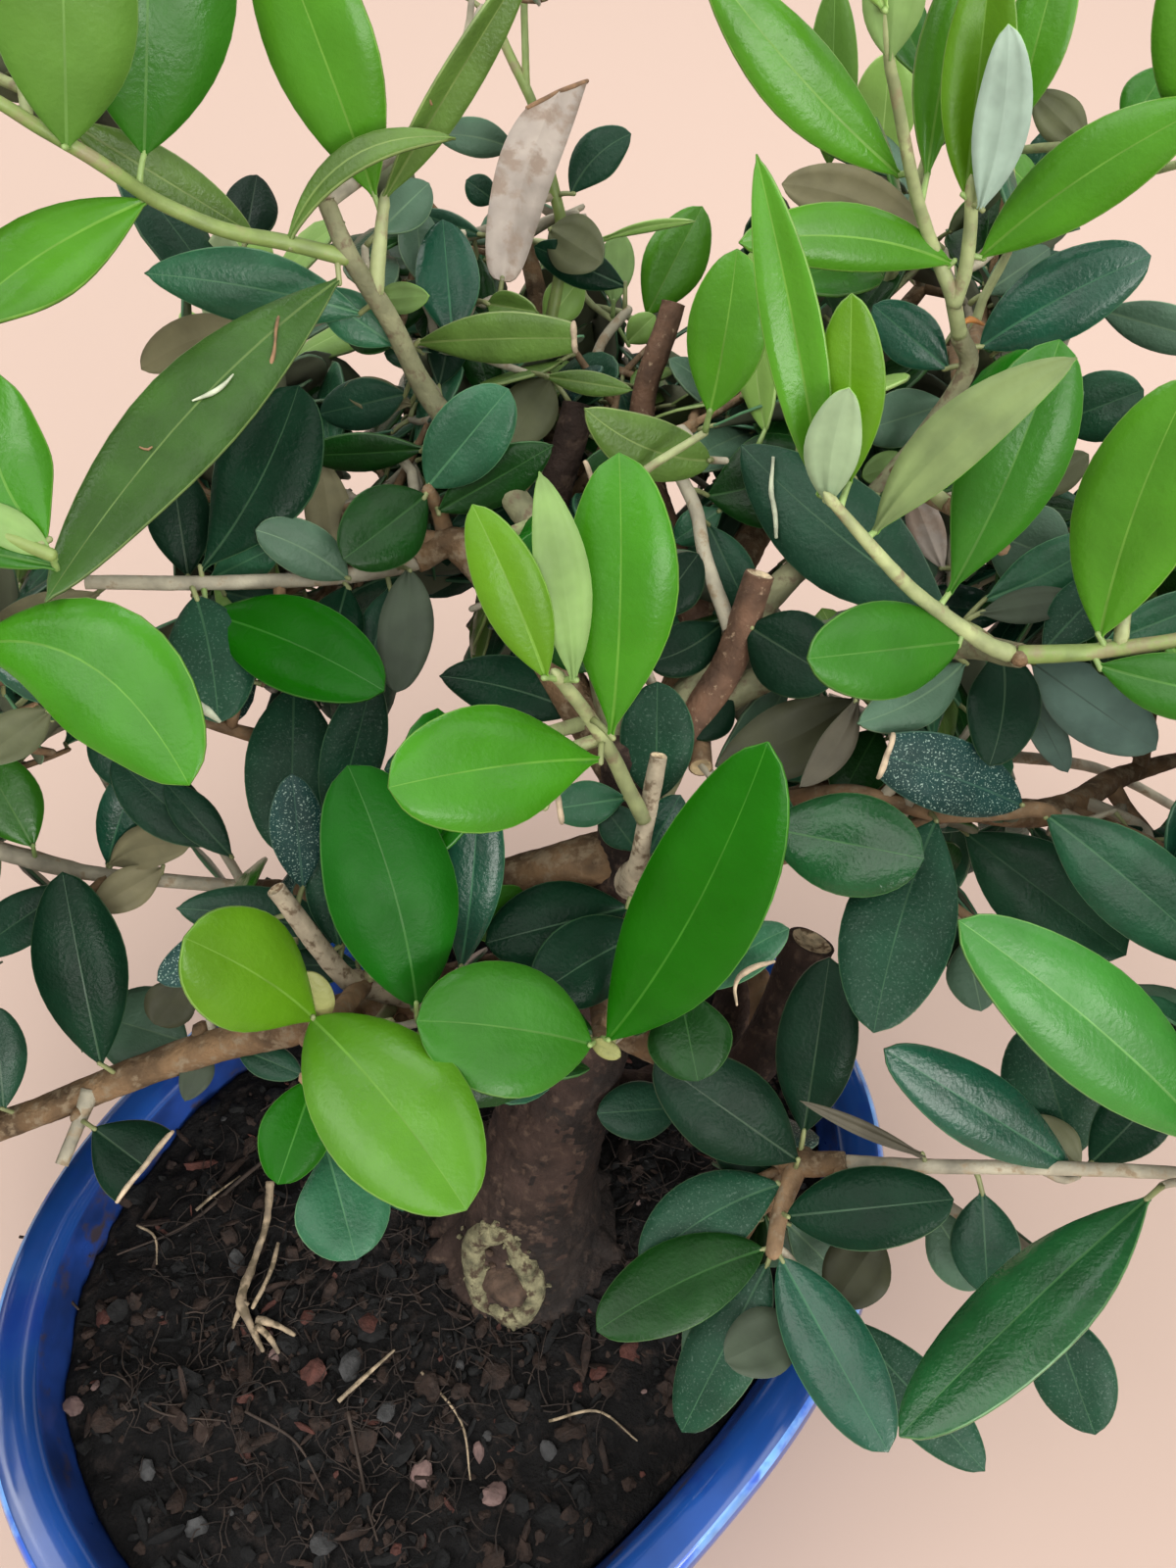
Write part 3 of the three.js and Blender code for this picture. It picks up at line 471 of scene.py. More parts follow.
# leaves that show: kind, foot (x, y, depth), tip (x, y, depth), width, turn of the face
# about its length in degrees, then options. Widths and bows are in units of the view.
LEAVES = [
    # top left shoot
    ("wash", 68, 150, 129, 60, -150, 112, 142, 0, dict(shape="e")),
    ("deep", 147, 158, 136, 152, -190, 121, 172, -8, dict(shape="e"), "mid"),
    ("bright", 382, 200, 149, 257, -130, 129, 106, 14, dict(shape="l", bow=-6)),
    ("fresh", 293, 250, 147, 462, 141, 140, 27, 30, dict(shape="l", bow=30, sag=2), "olive"),
    ("olive", 66, 122, 137, 257, 238, 152, 54, 4, dict(shape="l")),
    ("bright", 150, 204, 137.5, -48, 338, 124, 84, -20, dict(shape="l", bow=-22, sag=-2, twist=.5)),
    ("fresh", -50, 66, 122, -190, -120, 118, 100, 0, {}),
    ("bright", -60, 76, 122, -170, 180, 118, 100, 0, {}),
    ("bright", -108, 46, 121, -230, 10, 116, 80, 0, {}),
    ("fresh", 391, 204, 149, 545, -52, 132, 40, -35, dict(shape="l", rise=.6, drop=.2, bow=6), "olive"),
    ("dark", 250, 248, 166, 262, 180, 172, 52, 0, {}, "black"),
    ("teal", 368, 320, 158, 150, 279, 150, 70, 10, dict(shape="l", bow=-6)),
    ("teal", 402, 352, 161, 325, 300, 157, 48, 0, {}),
    ("unbr", 258, 333, 166, 146, 376, 169, 46, 0, dict(bow=-8)),
    ("teal", 386, 238, 162, 437, 188, 165, 46, 10, {}, "grey"),
    ("deepteal", 402, 352, 163, 350, 330, 168, 40, 0, {}, "mdark"),
    # left, near
    ("olive", 346, 285, 150, 50, 609, 126, 88, -16, dict(shape="l", bow=-14), "moss"),
    ("bright", 46, 553, 121, -2, 384, 115.5, 100, 0, dict(shape="o", bow=24, sag=-1), "lush"),
    ("silver", 54, 568, 121.5, -45, 520, 118, 40, 0, dict(bow=-6, twist=.8)),
    ("bright", 57, 578, 123.5, -70, 552, 120, 26, 0, dict(shape="l"), "mid"),
    ("bright", -44, 664, 131, 191, 797, 123.5, 132, -6, dict(shape="t", bow=56, sag=2.5), "lush"),
    ("unbr", 100, 605, 171, -24, 668, 168, 56, 0, {}),
    ("unol", 52, 724, 141, -24, 778, 137, 48, 0, dict(twist=.8)),
    ("vivid", 212, 627, 158.5, 390, 704, 150, 96, 6, dict(shape="e", bow=6)),
    ("dusty", 200, 609, 157.5, 223, 736, 154, 84, -8, dict(shape="o", bow=4)),
    ("deepteal", 205, 582, 158.5, 304, 396, 155, 96, 12, dict(shape="t", bow=-12), "ink"),
    ("dark", 192, 588, 163, 174, 470, 160, 62, 0, {}, "black"),
    ("ungr", 354, 590, 162.5, 262, 541, 156, 54, 0, dict(shape="o", bow=-6), "grey"),
    ("dark", 216, 590, 164, 285, 556, 162, 42, 0, {}, "teal"),
    ("dark", 228, 604, 166, 300, 622, 166, 34, 0, {}),
    ("dark", 354, 598, 163.5, 334, 672, 160, 54, 0, {}, "ink"),
    ("mdark", 434, 506, 160.5, 351, 570, 155.5, 80, 6, dict(shape="o")),
    ("deepteal", 437, 496, 161, 518, 398, 155.5, 76, 6, dict(shape="o"), "teal"),
    ("mdark", 447, 522, 163, 563, 455, 159.5, 54, -10, dict(shape="l")),
    ("dark", 455, 545, 168, 560, 500, 170, 48, 0, {}, "ink"),
    ("mdark", 432, 458, 167, 306, 464, 168, 38, 20, dict(shape="l")),
    ("dark", 414, 402, 172, 328, 422, 175, 50, 0, {}),
    ("unbr", 420, 412, 174, 352, 396, 173, 34, 0, {}),
    ("undk", 345, 590, 168, 328, 474, 171, 46, 0, {}, "unbr"),
    ("ungr", 417, 582, 162, 404, 705, 157, 54, 0, dict(shape="o", bow=4)),
    ("dark", 398, 600, 166, 376, 682, 164, 40, 0, {}),
    ("undk", 300, 700, 170, 296, 872, 168, 92, 0, dict(shape="o"), "dusty"),
    ("dusty", 338, 850, 168, 380, 692, 162.5, 62, 0, dict(shape="e")),
    ("speck", 309, 906, 162.5, 298, 791, 157, 54, 0, dict(shape="e")),
    ("speck", 276, 939, 163, 162, 1000, 159, 52, 0, dict(shape="o")),
    ("dark", 352, 958, 168, 182, 927, 164, 62, 0, dict(shape="l", bow=-6)),
    ("dusty", 346, 966, 166, 324, 868, 163, 42, 0, {}),
    ("dark", 365, 985, 172, 288, 985, 172, 40, 0, {}),
    ("dusty", 470, 988, 160.5, 488, 792, 155, 60, 0, dict(shape="e", bow=-4), "deepteal"),
    ("gloss", 425, 1026, 150, 356, 784, 142.5, 128, -10, dict(shape="o", bow=-8, sag=1.5)),
    ("dark", 640, 926, 166, 497, 962, 163, 88, 0, dict(shape="e"), "ink"),
    ("mdark", 662, 950, 164, 545, 1018, 158, 86, 8, dict(shape="e", bow=-5), "ink"),
    ("dark", 592, 728, 166, 450, 690, 163, 64, 0, dict(shape="l", bow=-6), "ink"),
    ("teal", 638, 814, 158, 560, 826, 157, 46, 0, dict(cut=.86)),
    ("dark", 650, 868, 160.5, 617, 824, 160, 42, 0, {}),
    ("dark", 660, 872, 160, 694, 812, 160, 40, 0, {}, "deepteal"),
    ("dusty", 670, 815, 161, 671, 697, 158, 74, 0, dict(shape="o")),
    ("dark", 742, 702, 165.5, 706, 752, 164, 54, 0, dict(shape="o"), "black"),
    ("dark", 664, 632, 165, 712, 566, 164, 54, 0, dict(shape="e"), "black"),
    ("dark", 736, 636, 166, 662, 676, 163, 54, 0, dict(shape="e", bow=6), "black"),
    ("dark", 723, 536, 170, 764, 624, 172, 48, 0, {}),
    ("deepteal", 736, 520, 172, 688, 552, 173, 36, 0, {}, "teal"),
    ("dusty", 722, 506, 171, 842, 466, 168, 92, 0, dict(shape="e", bow=-6), "mdark"),
    ("teal", 966, 624, 160, 758, 456, 165, 106, 4, dict(shape="l", bow=8, sag=1), "dark"),
    ("dark", 765, 640, 161, 852, 694, 155, 86, 0, dict(shape="o"), "black"),
    ("undk", 872, 714, 163, 733, 780, 160.5, 74, 0, dict(shape="l", bow=8)),
    ("unwarm", 874, 713, 158, 817, 802, 155.5, 34, 10, dict(shape="l", bow=8)),
    ("teal", 896, 744, 171, 858, 814, 168, 62, 0, {}, "mdark"),
    ("teal", 664, 470, 171, 590, 496, 168, 54, 0, dict(cut=.82), "mdark"),
    # centre shoot
    ("yellow", 557, 692, 127, 483, 517, 119, 68, 8, dict(shape="e", bow=-4)),
    ("silver", 585, 694, 128.5, 551, 484, 118, 54, -6, dict(shape="l", bow=-5)),
    ("gloss", 623, 751, 135.5, 632, 466, 121, 110, 8, dict(shape="t", bow=-8, sag=2.2), "lush"),
    ("bright", 613, 775, 140, 399, 803, 125.5, 126, -6, dict(shape="t", bow=-6, sag=1.2), "lush"),
    ("deep", 620, 1061, 150, 782, 762, 125.5, 128, 10, dict(shape="e", bow=-16, sag=1)),
    ("teal", 712, 1012, 158, 804, 948, 154, 50, 0, dict(shape="e", bow=6)),
    ("gloss", 692, 1002, 158.5, 712, 1102, 154, 84, 0, dict(shape="t"), "mdark"),
    ("ungreen", 724, 470, 161, 598, 418, 151, 60, 0, dict(shape="b", bow=12), "olive"),
    # front left shoot
    ("yellow", 324, 1043, 148, 190, 958, 131, 118, -6, dict(shape="t", bow=-6)),
    ("cream", 327, 1046, 149.5, 312, 992, 145.5, 42, 0, dict(shape="o")),
    ("yellow", 319, 1040, 147, 474, 1232, 133, 146, 8, dict(shape="o", bow=6, sag=1.5), "limelit"),
    ("gloss", 320, 1102, 153, 284, 1207, 149, 70, 0, dict(shape="o"), "deep"),
    ("teal", 332, 1168, 157, 363, 1284, 152, 94, 0, dict(shape="t")),
    ("mid", 603, 1066, 150.5, 427, 1042, 142.5, 134, -8, dict(shape="o", bow=-4)),
    ("cream", 603, 1062, 152, 633, 1078, 150, 19, 0, dict(shape="o")),
    # low left
    ("deepteal", 103, 1086, 187, 64, 892, 180, 86, 6, dict(shape="e"), "ink"),
    ("dark", 192, 1064, 197, 100, 1036, 196, 84, 0, {}, "grey"),
    ("undk", 192, 1000, 190, 158, 1044, 190, 50, 0, {}),
    ("mdark", 95, 1151, 186, 190, 1222, 184, 82, 0, dict(cut=.56), "black"),
    ("dark", 4, 1132, 188, -6, 1028, 186, 52, 0, {}),
    ("dark", 74, 902, 193, -30, 974, 192, 52, 0, {}),
    ("silver", 213, 1068, 192, 189, 1123, 189, 32, 0, dict(shape="l"), "ungr"),
    ("dark", 240, 1068, 191, 306, 1096, 189, 36, 0, {}),
    ("deepteal", 110, 882, 194, 150, 770, 190, 46, 0, dict(shape="l", bow=4)),
    ("dark", 228, 862, 190.5, 118, 772, 186, 64, 0, dict(shape="e", bow=6)),
    ("unbr", 113, 883, 193, 192, 864, 190, 44, 0, dict(bow=10)),
    ("unbr", 166, 886, 193, 98, 926, 190, 42, 0, {}),
    ("mid", 34, 864, 188, -20, 768, 184, 66, 0, {}),
    ("dark", 152, 808, 188, 95, 744, 185, 52, 0, {}),
    ("dark", 236, 874, 187, 170, 800, 186, 40, 0, {}),
    ("unol", 0, 868, 190, -60, 930, 188, 50, 0, {}),
    # top, far
    ("dark", 527, 153, 188.5, 446, 137, 185, 36, 0, dict(bow=-4), "grey"),
    ("dark", 506, 206, 189, 476, 184, 187, 30, 0, {}),
    ("dead", 512, 287, 176, 593, 56, 183.5, 56, 0, dict(shape="f", rise=.3, drop=.1, bow=14, cut=.8, wave=.14, twist=.25, slant=.26)),
    ("dark", 583, 198, 190, 643, 137, 186, 44, 0, dict(bow=8)),
    ("unol", 562, 234, 190, 614, 268, 186, 56, 0, dict(shape="o")),
    ("dark", 638, 292, 192, 546, 252, 190, 40, 0, {}, "ink"),
    ("unol", 626, 310, 200, 632, 238, 200, 36, 0, {}, "silver"),
    ("fresh", 614, 245, 198, 708, 226, 190, 11, 0, dict(bow=4)),
    ("bright", 660, 322, 206, 716, 212, 200, 62, 0, dict(shape="e")),
    ("deepteal", 462, 346, 168, 452, 226, 169, 64, 0, dict(shape="e")),
    ("teal", 432, 292, 172, 424, 212, 175, 42, 0, {}, "grey"),
    ("dark", 492, 240, 178, 427, 217, 180, 22, 0, {}),
    ("unol", 384, 306, 166, 437, 302, 160, 30, 0, {}, "silver"),
    ("olive", 426, 350, 168, 606, 345, 159, 48, -14, dict(cut=.9, shape="e", bow=4)),
    ("olive", 497, 310, 170, 547, 318, 166, 30, 0, dict(rise=.7, drop=.1)),
    ("unol", 562, 386, 178, 518, 452, 176, 56, 0, {}),
    ("olive", 556, 384, 172, 645, 398, 170, 24, 0, dict(shape="l")),
    ("fresh", 556, 332, 200, 592, 284, 198, 40, 0, {}),
    ("fresh", 640, 350, 202, 668, 322, 200, 30, 0, {}),
    # right shoot
    ("bright", 724, 422, 150, 752, 256, 139.5, 80, 8, dict(shape="e", bow=-4)),
    ("bright", 838, 506, 127.5, 773, 162, 112.5, 58, 12, dict(shape="l", bow=-8, rise=.5, drop=.1)),
    ("yellow", 866, 493, 126.5, 869, 302, 115, 68, 0, dict(shape="e")),
    ("silver", 846, 513, 125.5, 866, 397, 117, 55, 0, dict(shape="e", bow=6), "ash"),
    ("unpale", 893, 543, 128, 1096, 367, 113.5, 64, 10, dict(shape="l", bow=16)),
    ("gloss", 968, 606, 136, 1080, 350, 121.5, 102, -8, dict(shape="t", bow=-4, sag=1.5), "mid"),
    ("bright", 979, 655, 138.5, 826, 672, 127.5, 98, -4, dict(shape="o", sag=1), "mid"),
    ("bright", 1122, 650, 138, 1216, 388, 121.5, 116, 8, dict(shape="e", bow=8)),
    ("bright", 1121, 679, 139, 1295, 716, 129.5, 66, 0, dict(shape="e", bow=-4), "mid"),
    ("fresh", 1262, 640, 133, 1345, 560, 128, 60, 0, {}),
    ("bright", 1258, 640, 133, 1370, 680, 128, 70, 0, {}),
    ("bright", 1190, 655, 136, 1300, 760, 132, 80, 0, {}),
    # top right shoots
    ("bright", 918, 179, 139.5, 716, -46, 123.5, 74, -14, dict(shape="l", bow=10, sag=1)),
    ("silver", 908, 60, 126, 916, -76, 117, 62, 0, dict(shape="e")),
    ("fresh", 903, 10, 122, 860, -120, 116, 50, 0, {}),
    ("yellow", 985, 201, 141, 1014, -64, 127, 70, 6, dict(shape="l", rise=.55, drop=.15)),
    ("bright", 946, 179, 143.5, 996, -66, 133, 54, -20, dict(shape="l", bow=8)),
    ("silver", 1000, 213, 140.5, 1029, 27, 126.5, 54, 0, dict(shape="e", bow=-8), "white"),
    ("bright", 1036, 130, 152, 1088, -70, 142, 62, 0, {}),
    ("bright", 1000, 263, 146.5, 1240, 104, 127.5, 82, 6, dict(shape="l", bow=10, sag=1)),
    ("bright", 971, 269, 147.5, 757, 247, 139, 62, -6, dict(shape="e", bow=-14)),
    ("deepteal", 1001, 354, 157, 1172, 262, 148, 80, 0, dict(shape="o", bow=6)),
    ("deepteal", 967, 376, 160, 892, 312, 158, 54, 0, dict(shape="e")),
    ("dark", 1122, 316, 179, 1248, 352, 174, 46, 0, {}, "grey"),
    ("bright", 1216, 145, 135, 1204, -50, 121, 62, 0, {}),
    ("mid", 1148, 134, 152, 1190, 70, 149, 50, 0, {}),
    ("unol", 1108, 148, 154, 1056, 96, 150, 42, 0, {}),
    ("wash", 846, 170, 212, 852, -16, 206, 50, 0, {}),
    ("fresh", 898, 172, 212, 908, 54, 208, 64, 0, {}),
    ("unbr", 948, 244, 166, 800, 188, 172, 56, 0, dict(bow=-10)),
    ("dark", 1004, 300, 168, 1070, 254, 168, 42, 0, {}, "grey"),
    ("teal", 1078, 432, 196, 1166, 398, 190, 68, 0, dict(shape="o")),
    # right
    ("gloss", 766, 842, 161, 941, 876, 152.5, 104, 0, dict(shape="t"), "ivy"),
    ("dusty", 955, 837, 160.5, 892, 1051, 151.5, 110, 0, dict(shape="e", bow=-6)),
    ("dark", 902, 880, 168, 878, 958, 166, 42, 0, {}, "ink"),
    ("grey", 985, 958, 165, 1001, 1031, 163, 52, 0, {}),
    ("teal", 985, 850, 201, 1147, 973, 194, 96, 0, dict(shape="e")),
    ("dusty", 1068, 832, 167, 1242, 980, 157, 92, 0, dict(shape="e", bow=4), "teal"),
    ("speck", 1042, 822, 161, 886, 766, 153, 76, 0, dict(shape="o", bow=-4, cut=.9)),
    ("speck", 984, 676, 158, 876, 738, 154.5, 56, 0, dict(shape="l", bow=8), "grey"),
    ("black", 1021, 660, 158, 1010, 780, 153.5, 70, 0, dict(shape="e", bow=8)),
    ("teal", 1005, 612, 163, 1136, 542, 158, 58, 0, dict(shape="l", bow=-6)),
    ("unbr", 1000, 626, 160, 1102, 610, 157, 36, 0, dict(shape="l"), "ungr"),
    ("grey", 1000, 540, 167, 1087, 572, 163, 84, 0, dict(shape="t")),
    ("dusty", 1064, 664, 158, 1140, 584, 155, 56, 0, {}),
    ("teal", 1128, 656, 151, 1250, 608, 148, 48, 0, {}),
    ("grey", 1053, 676, 196, 1178, 764, 190, 74, 0, {}, "mist"),
    ("teal", 1044, 698, 206, 1089, 787, 203, 34, 0, {}, "mist"),
    ("unol", 1045, 506, 176, 1110, 464, 172, 38, 0, {}),
    ("dark", 1100, 540, 200, 1128, 492, 198, 42, 0, {}),
    ("dark", 966, 412, 171, 878, 440, 168, 56, 0, {}, "grey"),
    ("unbr", 930, 470, 172, 880, 486, 170, 34, 0, {}, "silver"),
    ("dead", 962, 580, 170, 930, 500, 168, 34, 0, {}),
    ("bright", 1240, 1168, 134.5, 982, 942, 123.5, 116, -6, dict(shape="e", bow=-8, sag=1.4), "shiny"),
    # low right
    ("dusty", 814, 1184, 170.5, 670, 1082, 164.5, 94, 0, dict(shape="e"), "black"),
    ("dark", 820, 1156, 172.5, 846, 979, 167.5, 80, 0, dict(shape="e"), "black"),
    ("speck", 796, 1209, 172.5, 656, 1292, 168, 80, 0, dict(shape="e", bow=-10), "dusty"),
    ("mdark", 779, 1275, 168.5, 611, 1357, 161.5, 82, 0, dict(shape="o", bow=-6)),
    ("teal", 783, 1290, 168.9, 697, 1459, 168.5, 74, 0, dict(shape="o"), "dusty"),
    ("deepteal", 803, 1241, 168.5, 971, 1224, 162.5, 80, 0, dict(shape="o"), "ink"),
    ("teal", 797, 1284, 167.5, 905, 1479, 157.5, 84, 0, dict(shape="o"), "deepteal"),
    ("teal", 862, 1345, 173, 1003, 1499, 168, 66, 0, {}, "dusty"),
    ("ungr", 816, 1352, 167, 741, 1388, 162.5, 64, 0, dict(shape="o")),
    ("undk", 897, 1262, 175, 852, 1330, 172, 66, 0, dict(shape="o")),
    ("grey", 946, 1228, 177, 1001, 1314, 172, 62, 0, dict(shape="t")),
    ("dark", 1002, 1217, 167.5, 1008, 1320, 164.5, 68, 0, dict(shape="e")),
    ("unol", 942, 1180, 168.5, 818, 1124, 163, 16, 0, dict(shape="l"), "unwarm"),
    ("mdark", 1094, 1192, 165, 905, 1072, 156.5, 76, 0, dict(shape="e"), "deepteal"),
    ("gloss", 1172, 1222, 151, 921, 1463, 142.5, 94, -22, dict(shape="e", sag=1), "ivy"),
    ("deepteal", 1070, 1330, 173, 1117, 1462, 169, 80, 0, {}, "dusty"),
    ("dark", 1112, 1188, 172, 1196, 1103, 168, 64, 0, {}, "ink"),
    ("dark", 1097, 1178, 181, 1054, 1046, 176, 96, 0, dict(shape="o"), "dusty"),
    ("unol", 1102, 1190, 178, 1052, 1140, 178, 44, 0, {}),
    ("dark", 697, 1130, 186, 610, 1136, 183, 58, 0, {}),
    ("dark", 800, 1200, 178, 730, 1170, 176, 50, 0, {}, "black"),
]

# where the background or the soil shows between the leaves
OPEN = [
    [(262, -10), (292, -10), (302, 60), (337, 150), (330, 174), (322, 170), (290, 120), (262, 60)],
    [(1150, 1256), (1176, 1226), (1212, 1212), (1212, 1335), (1140, 1335), (1128, 1292)],
    [(866, 1058), (905, 1046), (926, 1096), (960, 1128), (990, 1176), (880, 1176), (866, 1120)],
    [(455, 95), (475, 66), (520, 50), (545, 60), (560, 100), (520, 140), (500, 165), (455, 130)],
    [(-20, 125), (40, 150), (140, 203), (60, 205), (-20, 250)],
    [(165, 155), (225, 90), (232, -10), (252, -10), (262, 60), (290, 120), (322, 170), (300, 190), (282, 210), (262, 180), (236, 200), (236, 215), (200, 180)],
    [(350, -10), (382, 112), (404, 115), (425, 120), (440, 90), (480, 25), (440, -10)],
    [(560, 20), (560, -20), (716, -20), (722, 8), (800, 85), (824, 110), (824, 165), (790, 180), (775, 158), (763, 175), (763, 232), (745, 258), (720, 262), (716, 213), (700, 225), (640, 240), (600, 200), (645, 140), (600, 118), (592, 82), (575, 95), (552, 95), (540, 40)],
    [(425, 165), (500, 165), (470, 185), (500, 215), (490, 232), (440, 212), (437, 190)],
    [(950, 178), (965, 170), (980, 205), (960, 238), (949, 210)],
    [(1052, 60), (1088, -10), (1176, -10), (1178, 72), (1150, 90), (1140, 125), (1120, 132), (1060, 95)],
    [(905, 308), (960, 300), (968, 340), (945, 345)],
    [(1070, 250), (1130, 238), (1200, 200), (1200, 312), (1160, 308), (1166, 262), (1130, 248)],
    [(1090, 332), (1125, 322), (1200, 375), (1200, 402), (1165, 450), (1150, 500), (1132, 500), (1112, 492), (1085, 500), (1062, 470), (1066, 452), (1130, 446), (1166, 420), (1166, 395), (1120, 378), (1095, 368)],
    [(800, 600), (815, 585), (865, 597), (882, 606), (850, 612), (830, 626), (800, 628)],
    [(1045, 692), (1066, 722), (1092, 785), (1075, 800), (1050, 810), (1044, 760)],
    [(1182, 712), (1200, 704), (1200, 790), (1112, 786), (1120, 766), (1174, 766)],
    [(806, 905), (865, 905), (880, 950), (872, 998), (862, 990), (845, 960), (805, 950)],
    [(1002, 1022), (1050, 1045), (1018, 1096), (960, 1075), (905, 1066), (896, 1052), (955, 1025)],
    [(1152, 940), (1200, 972), (1200, 1012), (1155, 962)],
    [(1050, 812), (1110, 806), (1200, 800), (1200, 826), (1140, 822), (1078, 832), (1050, 826)],
    [(935, 1207), (1165, 1206), (1165, 1218), (1010, 1220), (985, 1242), (970, 1226), (940, 1218)],
    [(1002, 905), (1035, 930), (990, 935)],
    [(1122, 1100), (1148, 1108), (1118, 1150), (1112, 1186), (1096, 1140)],
    [(1010, 1216), (1158, 1218), (1090, 1240), (1060, 1256), (1020, 1226)],
    [(1130, 1340), (1180, 1270), (1240, 1230), (1240, 1640), (740, 1640), (850, 1475), (905, 1484), (1000, 1504), (1008, 1490), (960, 1450), (1040, 1402), (1115, 1464), (1128, 1400)],
    [(893, 1262), (940, 1262), (946, 1300), (1000, 1316), (1000, 1330), (945, 1400), (930, 1404), (900, 1340)],
    [(-20, 350), (110, 272), (150, 286), (190, 315), (150, 345), (145, 380), (190, 386), (100, 480), (70, 540), (52, 556), (52, 480), (40, 420), (10, 388), (-20, 380)],
    [(102, 578), (150, 535), (178, 588), (102, 588)],
    [(100, 606), (192, 605), (195, 614), (140, 636), (100, 618)],
    [(286, 518), (306, 486), (326, 502), (336, 540), (300, 534)],
    [(356, 472), (366, 476), (385, 496), (366, 514), (358, 490)],
    [(205, 738), (255, 748), (256, 790), (270, 830), (262, 880), (230, 848), (205, 800), (196, 792), (196, 760)],
    [(36, 786), (94, 762), (106, 800), (108, 866), (100, 888), (45, 860), (36, 830)],
    [(100, 918), (190, 906), (184, 930), (150, 1008), (122, 1010), (110, 945)],
    [(-10, 992), (34, 972), (38, 1012), (60, 1070), (105, 1098), (40, 1136), (20, 1110), (14, 1060), (-10, 1040)],
    [(-30, 1166), (60, 1152), (76, 1172), (50, 1205), (-30, 1290)],
    [(400, 745), (400, 702), (452, 690), (458, 700), (430, 735)],
    [(440, 612), (480, 648), (470, 690), (440, 690)],
    [(655, 463), (690, 498), (690, 540), (680, 520)],
    [(745, 535), (800, 556), (795, 580), (772, 584), (757, 550)],
    [(350, 370), (330, 350), (345, 340), (395, 380), (370, 395)],
    [(60, 1205), (150, 1105), (250, 1075), (292, 1104), (268, 1150), (268, 1200), (318, 1230), (330, 1284), (400, 1262), (430, 1228), (482, 1222), (482, 1136), (560, 1142), (605, 1110), (640, 1160), (700, 1150), (740, 1205), (660, 1262), (606, 1352), (680, 1374), (690, 1455), (752, 1424), (850, 1400), (740, 1640), (-40, 1640), (-40, 1300)],
]


# ---------------------------------------------------------------- materials
def lin(c):
    return tuple((x / 255 / 12.92 if x / 255 <= .04045 else ((x / 255 + .055) / 1.055) ** 2.4) for x in c) + (1.0,)


def mat(name, rgb, vary=.10, cell=9.0, rough=.4, rvary=.08, bump=.25, grain=.7, depth=.12, specks=0.0, speck_rgb=(160, 184, 170),
        speck_size=.30, speck_at=.60, spec=.5, coat=0.0, second=None, second_cell=3.0, second_at=.6, metal=0.0):
    """A plain colour with slow variation, a fine grain and, where asked, pale specks or a second colour in patches. Sizes in mm."""
    m = bpy.data.materials.new(name)
    m.use_nodes = True
    nt = m.node_tree
    add, link = nt.nodes.new, nt.links.new
    bs = next(x for x in nt.nodes if x.type == "BSDF_PRINCIPLED")
    co = add("ShaderNodeTexCoord").outputs["Object"]

    def noise(size, detail=3.0, rough_=.5):
        t = add("ShaderNodeTexNoise")
        t.inputs["Scale"].default_value = 1000.0 / size
        t.inputs["Detail"].default_value = detail
        t.inputs["Roughness"].default_value = rough_
        link(co, t.inputs["Vector"])
        return t.outputs["Fac"]

    def ramp(src, lo, hi, a=0.0, b=1.0):
        t = add("ShaderNodeMapRange")
        t.inputs["From Min"].default_value, t.inputs["From Max"].default_value = lo, hi
        t.inputs["To Min"].default_value, t.inputs["To Max"].default_value = a, b
        link(src, t.inputs["Value"])
        return t.outputs["Result"]

    def mix(fac, a, b):
        t = add("ShaderNodeMix")
        t.data_type = "RGBA"
        link(fac, t.inputs[0])
        for sock, v in ((t.inputs[6], a), (t.inputs[7], b)):
            if isinstance(v, tuple):
                sock.default_value = v
            else:
                link(v, sock)
        return t.outputs[2]

    lo = lin(tuple(c * (1 - vary) for c in rgb))
    hi = lin(tuple(min(255, c * (1 + vary) + 2) for c in rgb))
    col = mix(ramp(noise(cell), .32, .68), lo, hi)
    if second is not None:
        col = mix(ramp(noise(second_cell, 4.0, .6), second_at - .06, second_at + .06), col, lin(second))
    if specks:
        f = ramp(noise(speck_size, 2.0, .5), speck_at, speck_at + .07, 0.0, specks)
        col = mix(f, col, lin(speck_rgb))
    link(col, bs.inputs["Base Color"])
    link(ramp(noise(cell * .6), .3, .7, rough - rvary, rough + rvary), bs.inputs["Roughness"])
    bs.inputs["Specular IOR Level"].default_value = spec
    bs.inputs["Metallic"].default_value = metal
    bs.inputs["Coat Weight"].default_value = coat
    bs.inputs["Coat Roughness"].default_value = 0.12
    bu = add("ShaderNodeBump")
    bu.inputs["Strength"].default_value = bump
    bu.inputs["Distance"].default_value = depth * MM
    link(noise(grain, 3.0, .55), bu.inputs["Height"])
    link(bu.outputs["Normal"], bs.inputs["Normal"])
    return m


# ---------------------------------------------------------------- pot
YAW = math.radians(44)
POT_A = 78.6
POT_OUTSIDE = [[-16.2, 0], [-15.4, 4.2], [-13.2, 6.4], [-7.6, 22], [-4.6, 42.8], [-0.8, 44.8], [0, 48], [-1.1, 51.3], [-2.8, 52]]
POT_INSIDE = [[-6.2, 52], [-8.3, 50.6], [-9.6, 43.2], [-13.2, 18], [-20, 6]]


def oval(r, t):
    r = np.asarray(r, float)
    w = np.where(r > 40, r - 15.9, r * (40 - 15.9) / 40)
    k = 2 / 2.37
    c, s = np.cos(t), np.sin(t)
    x = r * np.sign(c) * np.abs(c) ** k
    y = w * np.sign(s) * np.abs(s) ** k
    return x, y


def turned(x, y):
    return x * math.cos(YAW) - y * math.sin(YAW), x * math.sin(YAW) + y * math.cos(YAW)


